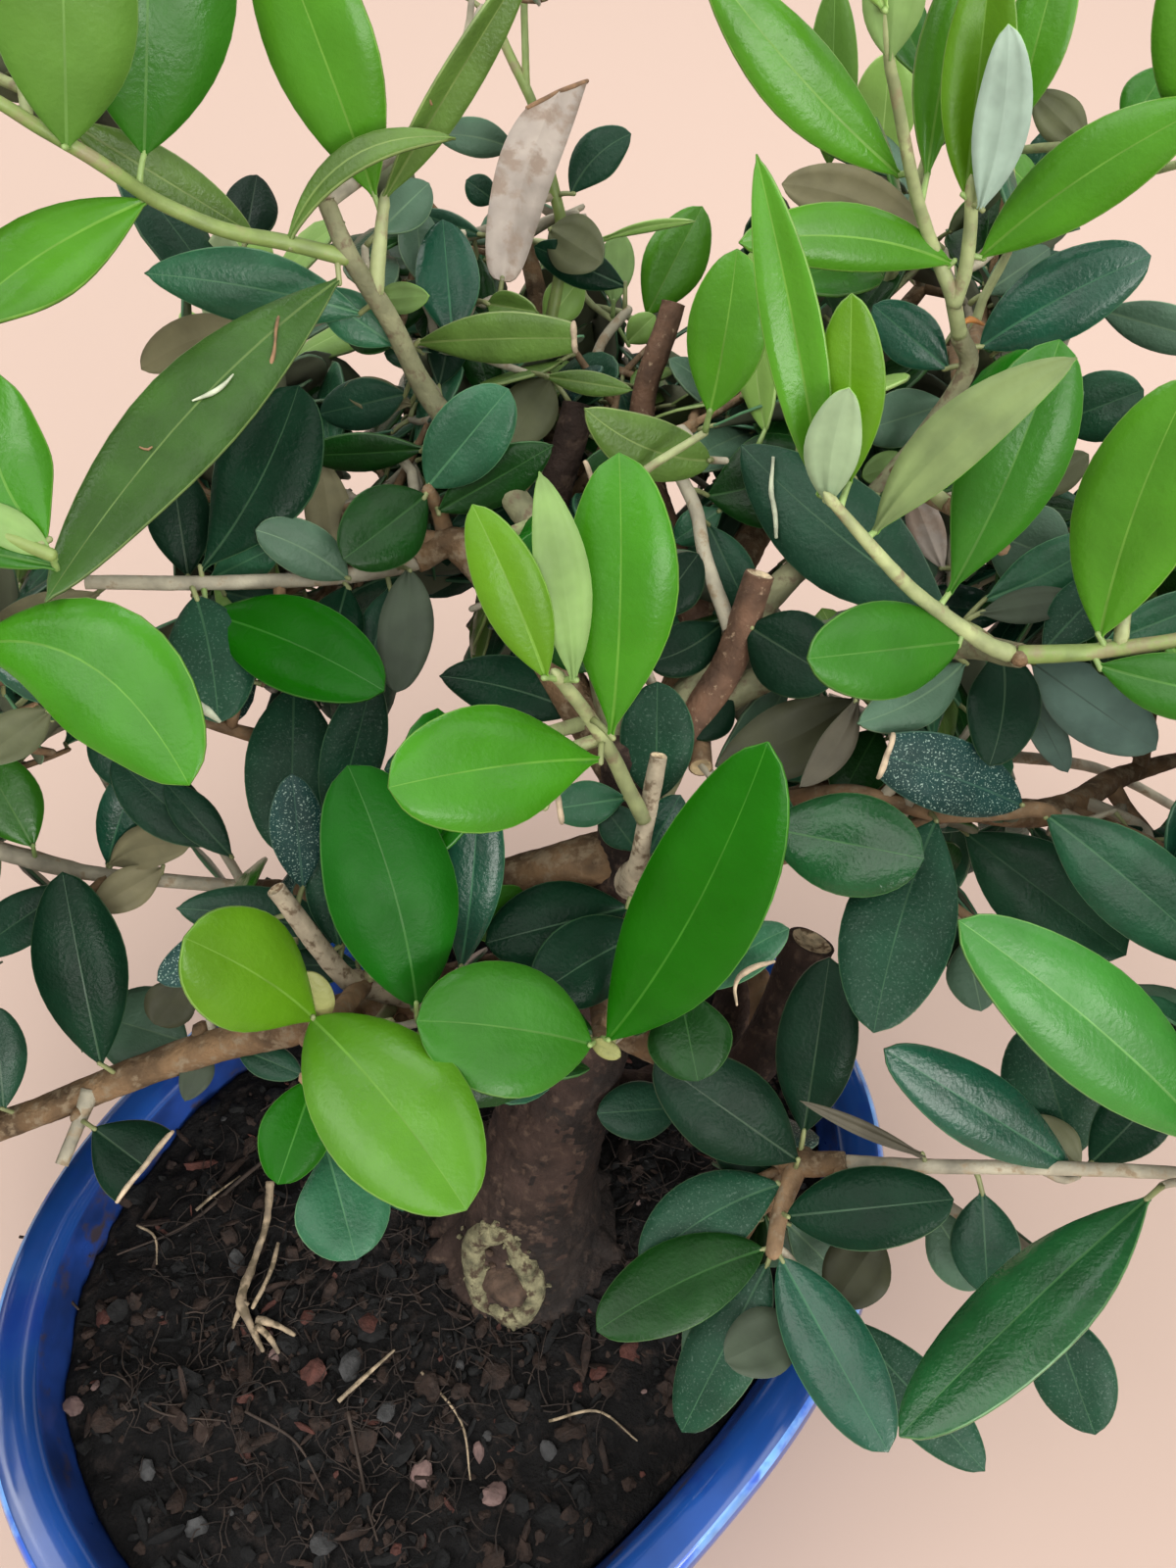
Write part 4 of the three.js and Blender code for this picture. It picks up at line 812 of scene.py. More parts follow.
def rounded(points, reach=1.2, steps=5):
    """The profile with every corner turned into a small arc."""
    p = [np.array(q, float) for q in points]
    out = [p[0]]
    for a, b, c in zip(p, p[1:], p[2:]):
        ra = min(reach, 0.45 * np.linalg.norm(a - b))
        rc = min(reach, 0.45 * np.linalg.norm(c - b))
        s, e = b + unit(a - b) * ra, b + unit(c - b) * rc
        for k in range(steps + 1):
            u = k / steps
            out.append((1 - u) ** 2 * s + 2 * u * (1 - u) * b + u * u * e)
    out.append(p[-1])
    fine = [out[0]]
    for q in out[1:]:
        n = max(1, int(np.linalg.norm(q - fine[-1]) // 3.0))
        a = fine[-1]
        fine += [a + (q - a) * (k + 1) / n for k in range(n)]
    return np.array(fine)


def make_pot():
    prof = rounded([[POT_A + d, z] for d, z in POT_OUTSIDE + POT_INSIDE] + [[2.0, 6.0]])
    n = 260
    t = np.linspace(0, 2 * math.pi, n, endpoint=False)
    R, Z = prof[:, 0], prof[:, 1]
    x, y = oval(R[:, None], t[None, :])
    wob = 0.22 * vnoise(np.stack([np.cos(t) * 2.1, np.sin(t) * 2.1, t * 0], 1))[None, :] * np.ones((len(R), 1))
    z = Z[:, None] + 0 * x
    lip = np.clip((Z - 40) / 10, 0, 1)[:, None]
    x, y = turned(x, y)
    x, y, z = x, y, z + lip * wob * 0.8
    v = np.stack([x, y, z], 2).reshape(-1, 3)
    m = len(R)
    i, j = np.meshgrid(np.arange(m - 1), np.arange(n), indexing="ij")
    j2 = (j + 1) % n
    q = np.stack([i * n + j, i * n + j2, (i + 1) * n + j2, (i + 1) * n + j], -1).reshape(-1, 4)
    top = int(np.argmax(Z))
    k = i.ravel()
    off, zz = R[k] - POT_A, Z[k]
    outside = k < top
    band = np.full(len(q), 0)
    band[outside & (zz > 49.6) & (zz < 51.6)] = 1                     # painted highlight: a thin pale line along the lip's rounded edge, where the glaze also thins
    # painted highlight: the same pale line along the rounded edge under the lip
    band[outside & (zz > 43.6) & (zz < 45.2)] = 1
    band[outside & (zz < 5.2)] = 3                                    # bare foot
    band[~outside & (off < -8.0)] = 2                                 # inner wall
    b = Build()
    b.add(v, np.concatenate([q.ravel(), np.arange(n)[::-1], (m - 1) * n + np.arange(n)]), [4] * len(q) + [n, n], list(band) + [3, 2])
    glaze = mat("pot_glaze", (21, 60, 124), vary=.14, cell=26, rough=.16, rvary=.06, bump=.10, grain=3.5, depth=.25, second=(17, 50, 122), second_cell=16, second_at=.60, coat=.3)
    # pot_edge_highlight: the pale blue of the painted highlight on the lip's edges
    line = mat("pot_edge_highlight", (92, 142, 204), vary=.18, cell=8, rough=.2, rvary=.05, bump=.1, grain=2.5, second=(38, 84, 182), second_cell=9, second_at=.55, coat=.4)
    inner = mat("pot_inner", (26, 52, 112), vary=.2, cell=9, rough=.36, rvary=.1, bump=.3, grain=1.6, second=(58, 52, 60), second_cell=6, second_at=.62)
    clay = mat("pot_clay", (138, 96, 74), vary=.12, cell=7, rough=.8, bump=.5, grain=.9)
    b.make("pot_body", [glaze, line, inner, clay], "pot_glaze", ["pot"])


# ---------------------------------------------------------------- soil
FOOT = np.array([11.5, 1.5])


def soil_z(x, y):
    """Height of the ground at a place in the frame."""
    u = x * math.cos(YAW) + y * math.sin(YAW)
    w = -x * math.sin(YAW) + y * math.cos(YAW)
    away = np.hypot(x - FOOT[0], y - FOOT[1])
    rise = np.maximum(0, 1 - away / 46) * 2.2
    uneven = 0.8 * np.sin(u * 0.16 + 1.1) * np.cos(w * 0.19) + 0.6 * np.sin((u + w) * 0.27)
    k = np.clip((away - 20) / 13, 0, 1)
    k = k * k * (3 - 2 * k)
    p = np.stack([x, y, 0 * x], -1)
    return 43.2 + (rise * 0.4 + uneven - 0.9) * k + 0.55 * fbm(p / 6.0, 3, 40) + 0.2


def on_soil(px, py, lift=0.0):
    """The place on the ground that is seen at px, py."""
    d = 205.0
    for _ in range(6):
        p = W(px, py, d)
        z = float(soil_z(np.array(p[0]), np.array(p[1]))) + lift
        d *= (CAM[2] - z) / (CAM[2] - p[2])
    return W(px, py, d)


def ball(level):
    g = (1 + 5 ** .5) / 2
    v = [(-1, g, 0), (1, g, 0), (-1, -g, 0), (1, -g, 0), (0, -1, g), (0, 1, g), (0, -1, -g), (0, 1, -g), (g, 0, -1), (g, 0, 1), (-g, 0, -1), (-g, 0, 1)]
    f = [(0, 11, 5), (0, 5, 1), (0, 1, 7), (0, 7, 10), (0, 10, 11), (1, 5, 9), (5, 11, 4), (11, 10, 2), (10, 7, 6), (7, 1, 8),
         (3, 9, 4), (3, 4, 2), (3, 2, 6), (3, 6, 8), (3, 8, 9), (4, 9, 5), (2, 4, 11), (6, 2, 10), (8, 6, 7), (9, 8, 1)]
    v = [unit(p) for p in v]
    for _ in range(level):
        mid, out = {}, []
        for a, b_, c in f:
            ids = []
            for p, q in ((a, b_), (b_, c), (c, a)):
                key = (min(p, q), max(p, q))
                if key not in mid:
                    v.append(unit(v[p] + v[q]))
                    mid[key] = len(v) - 1
                ids.append(mid[key])
            x, y, z = ids
            out += [(a, x, z), (b_, y, x), (c, z, y), (x, y, z)]
        f = out
    return np.array(v), np.array(f)


BALLS = [ball(0), ball(1)]


def turn3(r):
    q = unit(r.normal(size=4))
    w, x, y, z = q
    return np.array([[1 - 2 * (y * y + z * z), 2 * (x * y - z * w), 2 * (x * z + y * w)],
                     [2 * (x * y + z * w), 1 - 2 * (x * x + z * z), 2 * (y * z - x * w)],
                     [2 * (x * z - y * w), 2 * (y * z + x * w), 1 - 2 * (x * x + y * y)]])


def chip(b, at, size, r, level=0, mat_=0, rough_=.32, flat=True):
    v, f = BALLS[level]
    k = 1 + rough_ * vnoise(v * 1.7 + r.uniform(0, 90), int(r.integers(99)))
    p = v * k[:, None] * np.asarray(size) * 0.5
    if not flat:
        p = p @ turn3(r).T
    else:
        a = r.uniform(0, 6.283)
        m = np.array([[math.cos(a), -math.sin(a), 0], [math.sin(a), math.cos(a), 0], [0, 0, 1]])
        tilt = r.normal(0, .34, 2)
        p = p @ m.T
        p[:, 2] += p[:, 0] * tilt[0] + p[:, 1] * tilt[1]
    b.add(p + at, f.ravel(), [3] * len(f), mat_)


def make_soil():
    r = np.random.default_rng(77)
    rim = POT_A + POT_INSIDE[2][0] - 0.5
    nr, n = 74, 260
    k = np.linspace(0, 1, nr) ** 0.8
    t = np.linspace(0, 2 * math.pi, n, endpoint=False)
    x, y = oval((rim * np.maximum(k, 0.004))[:, None], t[None, :])
    x, y = turned(x, y)
    z = soil_z(x, y)
    p = np.stack([x, y, z], 2)
    z = z + 1.15 * fbm(p / 2.1, 3, 60) + 0.6 * vnoise(p / .9, 61)
    z[-1] -= 0.5
    v = np.stack([x, y, z], 2).reshape(-1, 3)
    i, j = np.meshgrid(np.arange(nr - 1), np.arange(n), indexing="ij")
    j2 = (j + 1) % n
    q = np.stack([i * n + j, (i + 1) * n + j, (i + 1) * n + j2, i * n + j2], -1).reshape(-1, 4)
    low = []
    for d, zz in ((-9.6, 41.0), (-13.2, 18.0), (-20.0, 6.8)):
        xx, yy = turned(*oval(np.array(POT_A + d - .8), t))
        low.append(np.stack([xx, yy, np.full(n, zz)], 1))
    v = np.vstack([v] + low)
    rows = np.array([nr - 1, nr, nr + 1, nr + 2])
    qs = [q]
    for a, c in zip(rows, rows[1:]):
        jj = np.arange(n)
        qs.append(np.stack([a * n + jj, c * n + jj, c * n + (jj + 1) % n, a * n + (jj + 1) % n], 1))
    q = np.vstack(qs)
    b = Build()
    b.add(v, np.concatenate([q.ravel(), (nr + 2) * n + np.arange(n)[::-1], np.arange(n)]), [4] * len(q) + [n, n], 0)
    earth = mat("soil_earth", (11, 10, 10), vary=.35, cell=5, rough=.9, bump=1.0, grain=.8, depth=.6, second=(31, 26, 24), second_cell=3.2, second_at=.60, spec=.2)
    b.make("soil_ground", [earth], "soil", ["soil"])

    tones = [mat("soil_dark", (11, 11, 11), vary=.3, cell=2, rough=.85, bump=.8, grain=.6, depth=.3, spec=.3),
             mat("soil_brown", (38, 28, 23), vary=.25, cell=2, rough=.85, bump=.8, grain=.5, depth=.3, spec=.3),
             mat("soil_red", (66, 38, 32), vary=.2, cell=2, rough=.85, bump=.8, grain=.5, depth=.3, spec=.3),
             mat("soil_grey", (52, 52, 52), vary=.2, cell=2, rough=.8, bump=.8, grain=.4, depth=.2, spec=.3),
             mat("soil_pink", (104, 84, 80), vary=.15, cell=2, rough=.8, bump=.6, grain=.4, depth=.2, spec=.3)]
    b = Build()
    count = 0
    while count < 2600:
        a, rr = r.uniform(0, 6.283), math.sqrt(r.uniform(0, 1)) * (rim - 1.5)
        x, y = turned(*oval(np.array(rr), np.array(a)))
        if np.hypot(x - FOOT[0], y - FOOT[1]) < 15:
            continue
        s = float(np.clip(r.lognormal(0.5, .5), .6, 5.6))
        u = r.uniform()
        kind = 0 if u < .44 else 1 if u < .90 else 2 if u < .94 else 3 if u < .968 else 4 if u < .985 else 1
        if kind >= 3:
            s *= .75
        z = float(soil_z(np.array(x), np.array(y))) + s * 0.06
        long = r.uniform() < .38
        shape = (s * 1.5, s * r.uniform(.22, .42), s * r.uniform(.18, .34)) if long and kind < 3 else (s, s * r.uniform(.5, .95), s * r.uniform(.28, .6))
        chip(b, np.array([x, y, min(z, 46.5)]), shape, r, 1 if s > 1.7 else 0, kind, .46 if kind < 3 else .3)
        count += 1
    # stones and bits that stand out
    for px, py, s, kind in ((505, 1525, 4.4, 4), (430, 1505, 4.2, 4), (75, 1435, 3.6, 4), (320, 1400, 4.6, 2), (380, 1350, 4.4, 2), (105, 1345, 3.4, 2),
                            (330, 1575, 4.4, 3), (200, 1560, 3.8, 3), (560, 1480, 3.2, 3), (255, 1475, 3.0, 1), (150, 1500, 3.4, 3), (610, 1400, 3.0, 2),
                            (130, 1225, 3.6, 1), (205, 1330, 3.2, 1), (395, 1440, 3.6, 3), (470, 1420, 3.2, 1), (360, 1395, 5.0, 3)):
        chip(b, on_soil(px, py, .5), (s, s * .8, s * .5), r, 1, kind, .25)
    b.make("soil_chips", tones, "soil", ["soil"], smooth=False)

    # fibres and thin roots
    straw = mat("soil_fibre", (52, 43, 37), vary=.2, cell=4, rough=.8, bump=.3, grain=.5, spec=.3)
    pale = mat("soil_root", (138, 122, 100), vary=.25, cell=3, rough=.8, bump=.9, grain=.6, second=(92, 80, 60), second_cell=2.5, second_at=.55)
    dark = mat("soil_rootlet", (38, 31, 27), vary=.2, cell=4, rough=.85, bump=.3, grain=.5, spec=.3)
    b = Build()
    for _ in range(800):
        a, rr = r.uniform(0, 6.283), math.sqrt(r.uniform(0, 1)) * (rim - 8)
        x, y = turned(*oval(np.array(rr), np.array(a)))
        if np.hypot(x - FOOT[0], y - FOOT[1]) < 18:
            continue
        ang, ln = r.uniform(0, 6.283), r.uniform(2.5, 11)
        pts = []
        for k in range(5):
            pts.append((x, y, float(soil_z(np.array(x), np.array(y))) + .7 + r.uniform(0, .7)))
            ang += r.normal(0, .55)
            x, y = x + math.cos(ang) * ln / 4, y + math.sin(ang) * ln / 4
        rr = (x * math.cos(YAW) + y * math.sin(YAW)) / (rim - 4), (-x * math.sin(YAW) + y * math.cos(YAW)) / (rim - 20)
        if rr[0] ** 2 + rr[1] ** 2 > 1:
            continue
        tube(b, pts, (r.uniform(.08, .17), .06), sides=5, n=9, mat=2 if r.uniform() < .8 else 0)
    strands = [([(355, 1440), (368, 1500), (376, 1540), (385, 1572)], .3), ([(200, 1235), (215, 1222), (245, 1200)], .3), ([(75, 1300), (66, 1318), (80, 1336)], .35),
               ([(140, 1250), (158, 1262), (160, 1290)], .25), ([(20, 1262), (60, 1268), (92, 1282)], .3), ([(345, 1430), (372, 1405), (402, 1378)], .45),
               ([(300, 1160), (250, 1200), (190, 1250), (120, 1280)], .4), ([(560, 1450), (610, 1440), (650, 1470)], .25), ([(250, 1440), (300, 1470), (330, 1520)], .25),
               ([(430, 1400), (470, 1450), (480, 1510)], .25), ([(120, 1400), (160, 1440), (230, 1450)], .22)]
    for k, (line, rad) in enumerate(strands):
        tube(b, [on_soil(x, y, 1.1 + .4 * math.sin(i * 2.1 + k)) for i, (x, y) in enumerate(line)], (rad, rad * .9, rad * .5), sides=6, step=1.2, mat=k % 2, seed=k, relief=.2)
    for line, rad in (([(276, 1206, 4.5), (271, 1250, 3.0), (258, 1290, 2.2), (246, 1326, 2.0), (256, 1352, 1.8), (268, 1378, 1.5)], (.75, .55, .7, .85, .7, .35)),
                      ([(284, 1268, 2.6), (276, 1298, 2.2), (258, 1334, 2.0)], (.3, .42, .35)),
                      ([(262, 1346, 2.0), (282, 1352, 1.8), (300, 1362, 1.6)], (.75, .6, .3)),
                      ([(252, 1328, 2.0), (243, 1340, 1.7), (238, 1354, 1.4)], (.6, .5, .3)),
                      ([(262, 1352, 2.0), (276, 1366, 1.6), (284, 1380, 1.4)], (.6, .5, .3))):
        tube(b, [on_soil(x, y, h) for x, y, h in line], rad, sides=10, step=.7, mat=1, seed=len(line), relief=.35)
    b.make("soil_fibres", [straw, pale, dark], "soil", ["soil"])


# ---------------------------------------------------------------- bark
SAMPLES = {"p": [], "r": [], "d": [], "main": []}
_cache = {"n": -1}


def note(line, t, r, main, every=2, start=0):
    for k in range(start, len(line), every):
        SAMPLES["p"].append(line[k])
        SAMPLES["r"].append(r[k])
        SAMPLES["d"].append(t[k])
        SAMPLES["main"].append(main)


def nearest(p, only_main=False, beyond=0.0):
    if _cache["n"] != len(SAMPLES["p"]):
        _cache.update(n=len(SAMPLES["p"]), p=np.array(SAMPLES["p"]), r=np.array(SAMPLES["r"]), d=np.array(SAMPLES["d"]), m=np.array(SAMPLES["main"]))
    d = np.linalg.norm(_cache["p"] - p, axis=1)
    if only_main:
        d = np.where(_cache["m"] >= 1, d, 1e9)
    if beyond:
        d = np.where(d < beyond, 1e9, d)
    k = int(np.argmin(d))
    return float(d[k]), _cache["p"][k], float(_cache["r"][k]), _cache["d"][k]


def make_limbs():
    bark = mat("bark_brown", (94, 74, 52), vary=.26, cell=5, rough=.82, bump=1.0, grain=.9, depth=.45, second=(122, 106, 84), second_cell=2.2, second_at=.56, spec=.3)
    # the trunk's bark colour is darkened beyond its own: painted shade of the canopy over the trunk
    trunk = mat("bark_trunk", (46, 35, 30), vary=.32, cell=7, rough=.88, bump=1.0, grain=1.1, depth=.5, second=(76, 61, 51), second_cell=2.4, second_at=.60, spec=.25)
    cut = mat("wood_cut", (186, 168, 138), vary=.2, cell=1.6, rough=.8, bump=.7, grain=.5, depth=.2, second=(120, 98, 76), second_cell=1.2, second_at=.55, spec=.3)
    grey = mat("bark_grey", (112, 112, 84), vary=.14, cell=4, rough=.75, bump=.7, grain=.7, depth=.25, second=(100, 88, 68), second_cell=1.8, second_at=.58, spec=.3)
    worn = mat("bark_worn", (166, 154, 132), vary=.16, cell=4, rough=.78, bump=.8, grain=.7, depth=.28, second=(112, 96, 76), second_cell=1.6, second_at=.58, spec=.3)
    # painted shade: a darker bark laid on the trunk's right side and, more widely, near its foot
    damp = mat("bark_damp", (30, 24, 21), vary=.3, cell=5, rough=.8, bump=1.0, grain=1.1, depth=.5, second=(50, 40, 34), second_cell=2.4, second_at=.6, spec=.25)
    red = mat("bark_reddish", (94, 70, 54), vary=.2, cell=4, rough=.8, bump=.9, grain=.8, depth=.3, second=(150, 128, 104), second_cell=1.1, second_at=.66, spec=.3)
    pale = mat("bark_pale", (150, 152, 112), vary=.12, cell=4, rough=.6, bump=.35, grain=.6, depth=.15, second=(128, 118, 86), second_cell=1.6, second_at=.62, spec=.35)
    tone = {"trunk": 0, "bough_left_low": 1, "bough_left_mid": 1, "bough_left_high": 1, "bough_top_left": 4, "bough_back": 1, "bough_back_right": 1,
            "bough_top_right": 4, "bough_right": 1, "bough_right_high": 4, "bough_right_low": 1}
    wood = Build()
    stubs = Build()
    for k, (name, (pts, radii)) in enumerate(LIMBS.items()):
        stub = name.startswith("stub")
        b = stubs if stub else wood
        big = name == "trunk"
        m = {"stub_back": 3, "stub_right_up": 1, "stub_back_right": 1, "stub_right_thick": 3}.get(name, 0)
        cap = "cut" if name in CUT_ENDS else "round"
        line, t, r, s = tube(b, pts, radii, sides=72 if big else 30 if not stub else 28, step=.75 if big else .9, mat=m if stub else tone[name],
                             cap_mat=2 if stub else 3, cap=cap, seed=k * 3 + 1, relief=.11 if big else .10, bark=.085 if big else .07)
        note(line, t, r, .3 if stub else 2 if big else 1, every=3, start=60 if big else 8)
        if big:  # painted shade: the side that stays in the shade gets a darker bark colour
            n_f = (len(line) - 1) * 72
            v = b.v[-1][:len(line) * 72].reshape(len(line), 72, 3)
            side = (v[:-1] - line[:-1, None, :])[:, :, 0].ravel() / np.repeat(r[:-1], 72)
            patch = vnoise(v[:-1].reshape(-1, 3) / 4.0, 8) * .55 + vnoise(v[:-1].reshape(-1, 3) / 1.2, 9) * .5
            b.mats[-1][:n_f] = np.where(side + patch > .22 - .5 * np.clip((60 - v[:-1].reshape(-1, 3)[:, 2]) / 14, 0, 1), 5, b.mats[-1][:n_f])
    # painted shade: a tube of the trunk's darkened bark beside the thick stump stands for its shaded side
    tube(stubs, [P3(30, 11, 76), W(728, 1078, 203), W(746, 1030, 207), W(750, 978, 209)], [3.4, 3.4, 3.2, 2.6], sides=24, step=.9, mat=3, cap_mat=3, cap="round", seed=77, relief=.10, bark=.07)
    # ridges of the trunk's foot that run out into the soil
    for ang, ln, rad in ((-118, 14.5, 2.6), (-160, 15, 2.8), (-72, 14.5, 2.6), (-20, 15, 2.8), (30, 14, 2.8), (85, 14, 2.8), (140, 15, 2.8), (185, 14, 2.6)):
        a = math.radians(ang)
        q = [(FOOT[0] + math.cos(a) * d, FOOT[1] + math.sin(a) * d, z) for d, z in ((5, 56), (9.0, 50.0), (12.5, 46.2), (ln, 44.2), (ln + 3, 42.4))]
        # painted shade: the ridges on the right side take the darker shaded bark
        tube(wood, q, (rad * 1.1, rad * 1.15, rad, rad * .75, rad * .4), sides=22, step=.9, mat=5 if -80 < ang < 90 else 0, relief=.14, bark=.08, seed=ang % 17)
    # knobs and leaf scars on the limbs
    for px, py, d, size in ((650, 886, 160, 3.0), (644, 896, 163, 2.8), (372, 1004, 170, 4.4), (440, 566, 168, 4.8), (473, 548, 168.5, 4.4), (760, 628, 165, 3.4),
                            (820, 1182, 174, 5.6), (845, 1187, 173.4, 5.0), (1040, 672, 141.6, 3.6), (1000, 652, 141, 3.4), (80, 1138, 188.5, 4.0), (205, 1052, 190.5, 5.0)):
        chip(wood, W(px, py, d), (size * .62, size * .6, size * .6), rng, 1, 2 if px in (372, 440, 650) else 1, .22, flat=False)
    wood.make("bark_limbs", [trunk, bark, red, cut, grey, damp], "bark", [n for n in LIMBS if not n.startswith("stub")])
    stubs.make("bark_stubs", [worn, red, cut, trunk], "cut_wood", [n for n in LIMBS if n.startswith("stub")])
    # the pale ring scar at the trunk's foot
    scar = Build()
    lichen = mat("bark_lichen", (108, 104, 80), vary=.3, cell=2.5, rough=.9, bump=1.0, grain=.4, depth=.4, second=(70, 58, 46), second_cell=1.8, second_at=.56, spec=.2)
    hollow = mat("bark_hollow", (66, 52, 42), vary=.25, cell=2, rough=.85, bump=.9, grain=.6, depth=.3, spec=.3)
    skin = PX(np.vstack(wood.v))

    def front_of(px, py):
        """Depth of the wood's near side at a place in the view, or of the ground."""
        near = skin[np.hypot(skin[:, 0] - px, skin[:, 1] - py) < 9]
        ground = PX(on_soil(px, py, .6))[0, 2]
        return min(ground, near[:, 2].min() + .4) if len(near) else ground

    ring = []
    for k in range(28):
        a = 2 * math.pi * k / 28
        x, y = 26 * math.cos(a) * (1 + .1 * math.sin(3 * a)), 47 * math.sin(a) * (1 + .08 * math.sin(2 * a + 1))
        x, y = x * math.cos(.3) + y * math.sin(.3), -x * math.sin(.3) + y * math.cos(.3)
        jit = .7 * math.sin(k * 1.12) + .5 * math.sin(k * 1.57 + 1)
        x, y = x * (1 + .05 * jit), y * (1 + .05 * jit)
        ring.append(W(512 + x, 1300 + y, front_of(512 + x, 1300 + y) + .95))
    ring.append(ring[0])
    tube(scar, ring, [1.75 + .45 * math.sin(k * .45) + .2 * math.sin(k * .9 + 1) for k in range(29)], sides=20, step=.45, mat=0, relief=.16, bark=.16, seed=4)
    chip(scar, W(512, 1302, front_of(512, 1302) + 1.2), (7.6, 11.0, 4.2), rng, 1, 1, .2)
    crumbs = np.random.default_rng(31)
    for _ in range(150):
        q = PX(ring[int(crumbs.integers(28))])[0] + np.append(crumbs.normal(0, 6.5, 2), 0)
        size = crumbs.uniform(.5, 1.5)
        chip(scar, W(q[0], q[1], front_of(q[0], q[1]) + .35 * size), (size, size * .8, size * .5), crumbs, 1, 0 if crumbs.uniform() < .62 else 1, .35)
    scar.make("bark_scar", [lichen, hollow], "bark", ["trunk"])


# ---------------------------------------------------------------- what stays clear in the view
X0, Y0, CELL, GW, GH = -240, -240, 4, 420, 540
GX, GY = np.meshgrid(X0 + (np.arange(GW) + .5) * CELL, Y0 + (np.arange(GH) + .5) * CELL)
CLEAR = np.zeros((GH, GW), bool)
NEAR = np.full((GH, GW), 1e9)


def inside(poly):
    out = np.zeros(GX.shape, bool)
    x1, y1 = poly[-1]
    for x2, y2 in poly:
        if y1 != y2:
            hit = ((GY > y1) != (GY > y2)) & (GX < (x2 - x1) * (GY - y1) / (y2 - y1) + x1)
            out ^= hit
        x1, y1 = x2, y2
    return out


for poly in OPEN:
    CLEAR |= inside(poly)


def cells(pts):
    q = PX(pts)
    i = ((q[:, 0] - X0) // CELL).astype(int)
    j = ((q[:, 1] - Y0) // CELL).astype(int)
    ok = (i >= 0) & (i < GW) & (j >= 0) & (j < GH) & (q[:, 2] > 5)
    return i[ok], j[ok], q[ok, 2]


def stamp(pts):
    i, j, d = cells(pts)
    np.minimum.at(NEAR, (j, i), d)


def blocked(pts, margin=2.5, front=118.0):
    """True if these points hide something that shows in the view, or stand where it is clear."""
    i, j, d = cells(pts)
    if not len(i):
        return False
    return bool(np.any(CLEAR[j, i]) or np.any(d < NEAR[j, i] * (NEAR[j, i] < 1e8) + margin) or np.any(d < front))


# ---------------------------------------------------------------- twigs and leaves
FOLIAGE = {}
TWIG = {k: Build() for k in ("new", "pale", "grey", "bark")}
PET = Build()
DRY = Build()
MASSES = {
    "leaves_top_left": ((-30, 66, 197), (38, 28, 27), 1), "leaves_left_high": ((-42, 28, 166), (34, 29, 30), 1),
    "leaves_left_mid": ((-12, 62, 152), (36, 30, 24), 0), "leaves_centre_front": ((15, 7, 158), (33, 23, 30), 1),
    "leaves_front_left": ((-11, -9, 126), (30, 22, 18), 1), "leaves_left_low": ((-86, 6, 86), (25, 26, 23), 0),
    "leaves_left_far": ((-68, 46, 114), (34, 30, 27), 0), "leaves_back_left": ((-36, 90, 128), (35, 31, 29), 0),
    "leaves_back_high": ((14, 102, 174), (34, 30, 31), 0), "leaves_back": ((20, 104, 124), (36, 29, 26), 0),
    "leaves_back_right": ((74, 102, 144), (34, 31, 30), 0), "leaves_top_right": ((62, 62, 205), (36, 28, 34), 1),
    "leaves_right_high": ((66, 24, 174), (34, 24, 32), 1), "leaves_right_back": ((112, 74, 138), (31, 33, 30), 0),
    "leaves_right_far": ((114, 42, 99), (31, 31, 26), 0), "leaves_right_mid": ((80, 22, 125), (29, 24, 24), 0),
    "leaves_right_front": ((104, -4, 138), (30, 25, 23), 1), "leaves_right_low": ((66, -22, 93), (39, 25, 25), 0),
    "leaves_core": ((38, 66, 146), (27, 29, 22), 0),
}
M_NAME = list(MASSES)
M_C = np.array([MASSES[n][0] for n in M_NAME], float)
M_S = np.array([MASSES[n][1] for n in M_NAME], float)


def mass_of(p):
    return M_NAME[int(np.argmin((((np.asarray(p) - M_C) / M_S) ** 2).sum(1)))]


def piece(kind, add=0):
    """The body of leaves of this kind that still has room."""
    rows = FOLIAGE.setdefault(kind, [])
    if not rows or rows[-1]["b"].tris() > 150000:
        rows.append({"b": Build(), "nodes": set()})
    return rows[-1]


def petiole(b_tw, foot, at, thin=.36, thick=.46, up=None, mat_=0):
    d = np.asarray(at) - np.asarray(foot)
    mid = (np.asarray(foot) + at) / 2 + (np.array([0, 0, 1.0]) if up is None else up) * np.linalg.norm(d) * .08
    tube(b_tw, [foot, mid, np.asarray(at) + unit(d) * .5], (thick, thin, thin), sides=6, n=4, mat=mat_)


BEHIND = {}


def behind():
    """The nearest depth that a hidden twig may have, also in the small holes between what shows."""
    if not BEHIND:
        known = NEAR < 1e8
        have, total = known.astype(float), np.where(known, NEAR, 0.0)
        for _ in range(2):
            for ax in (0, 1):
                have = sum(np.roll(have, k, ax) for k in range(-3, 4))
                total = sum(np.roll(total, k, ax) for k in range(-3, 4))
        frame_ = (GX > -20) & (GX < 1220) & (GY > -20) & (GY < 1620)
        BEHIND["d"] = np.where(known, NEAR, np.where((have > 0) & frame_, total / np.maximum(have, 1e-9) + 4.0, 0.0))
    return BEHIND["d"]


def seen_over(line, margin=1.0):
    """For each point of a line: does it stand where the view is clear, or in front of something that shows?"""
    q = PX(line)
    i = ((q[:, 0] - X0) // CELL).astype(int)
    j = ((q[:, 1] - Y0) // CELL).astype(int)
    ok = (i >= 0) & (i < GW) & (j >= 0) & (j < GH) & (q[:, 2] > 5)
    i, j = np.clip(i, 0, GW - 1), np.clip(j, 0, GH - 1)
    return ok & (CLEAR[j, i] | (q[:, 2] < behind()[j, i] + margin) | (q[:, 2] < 116))


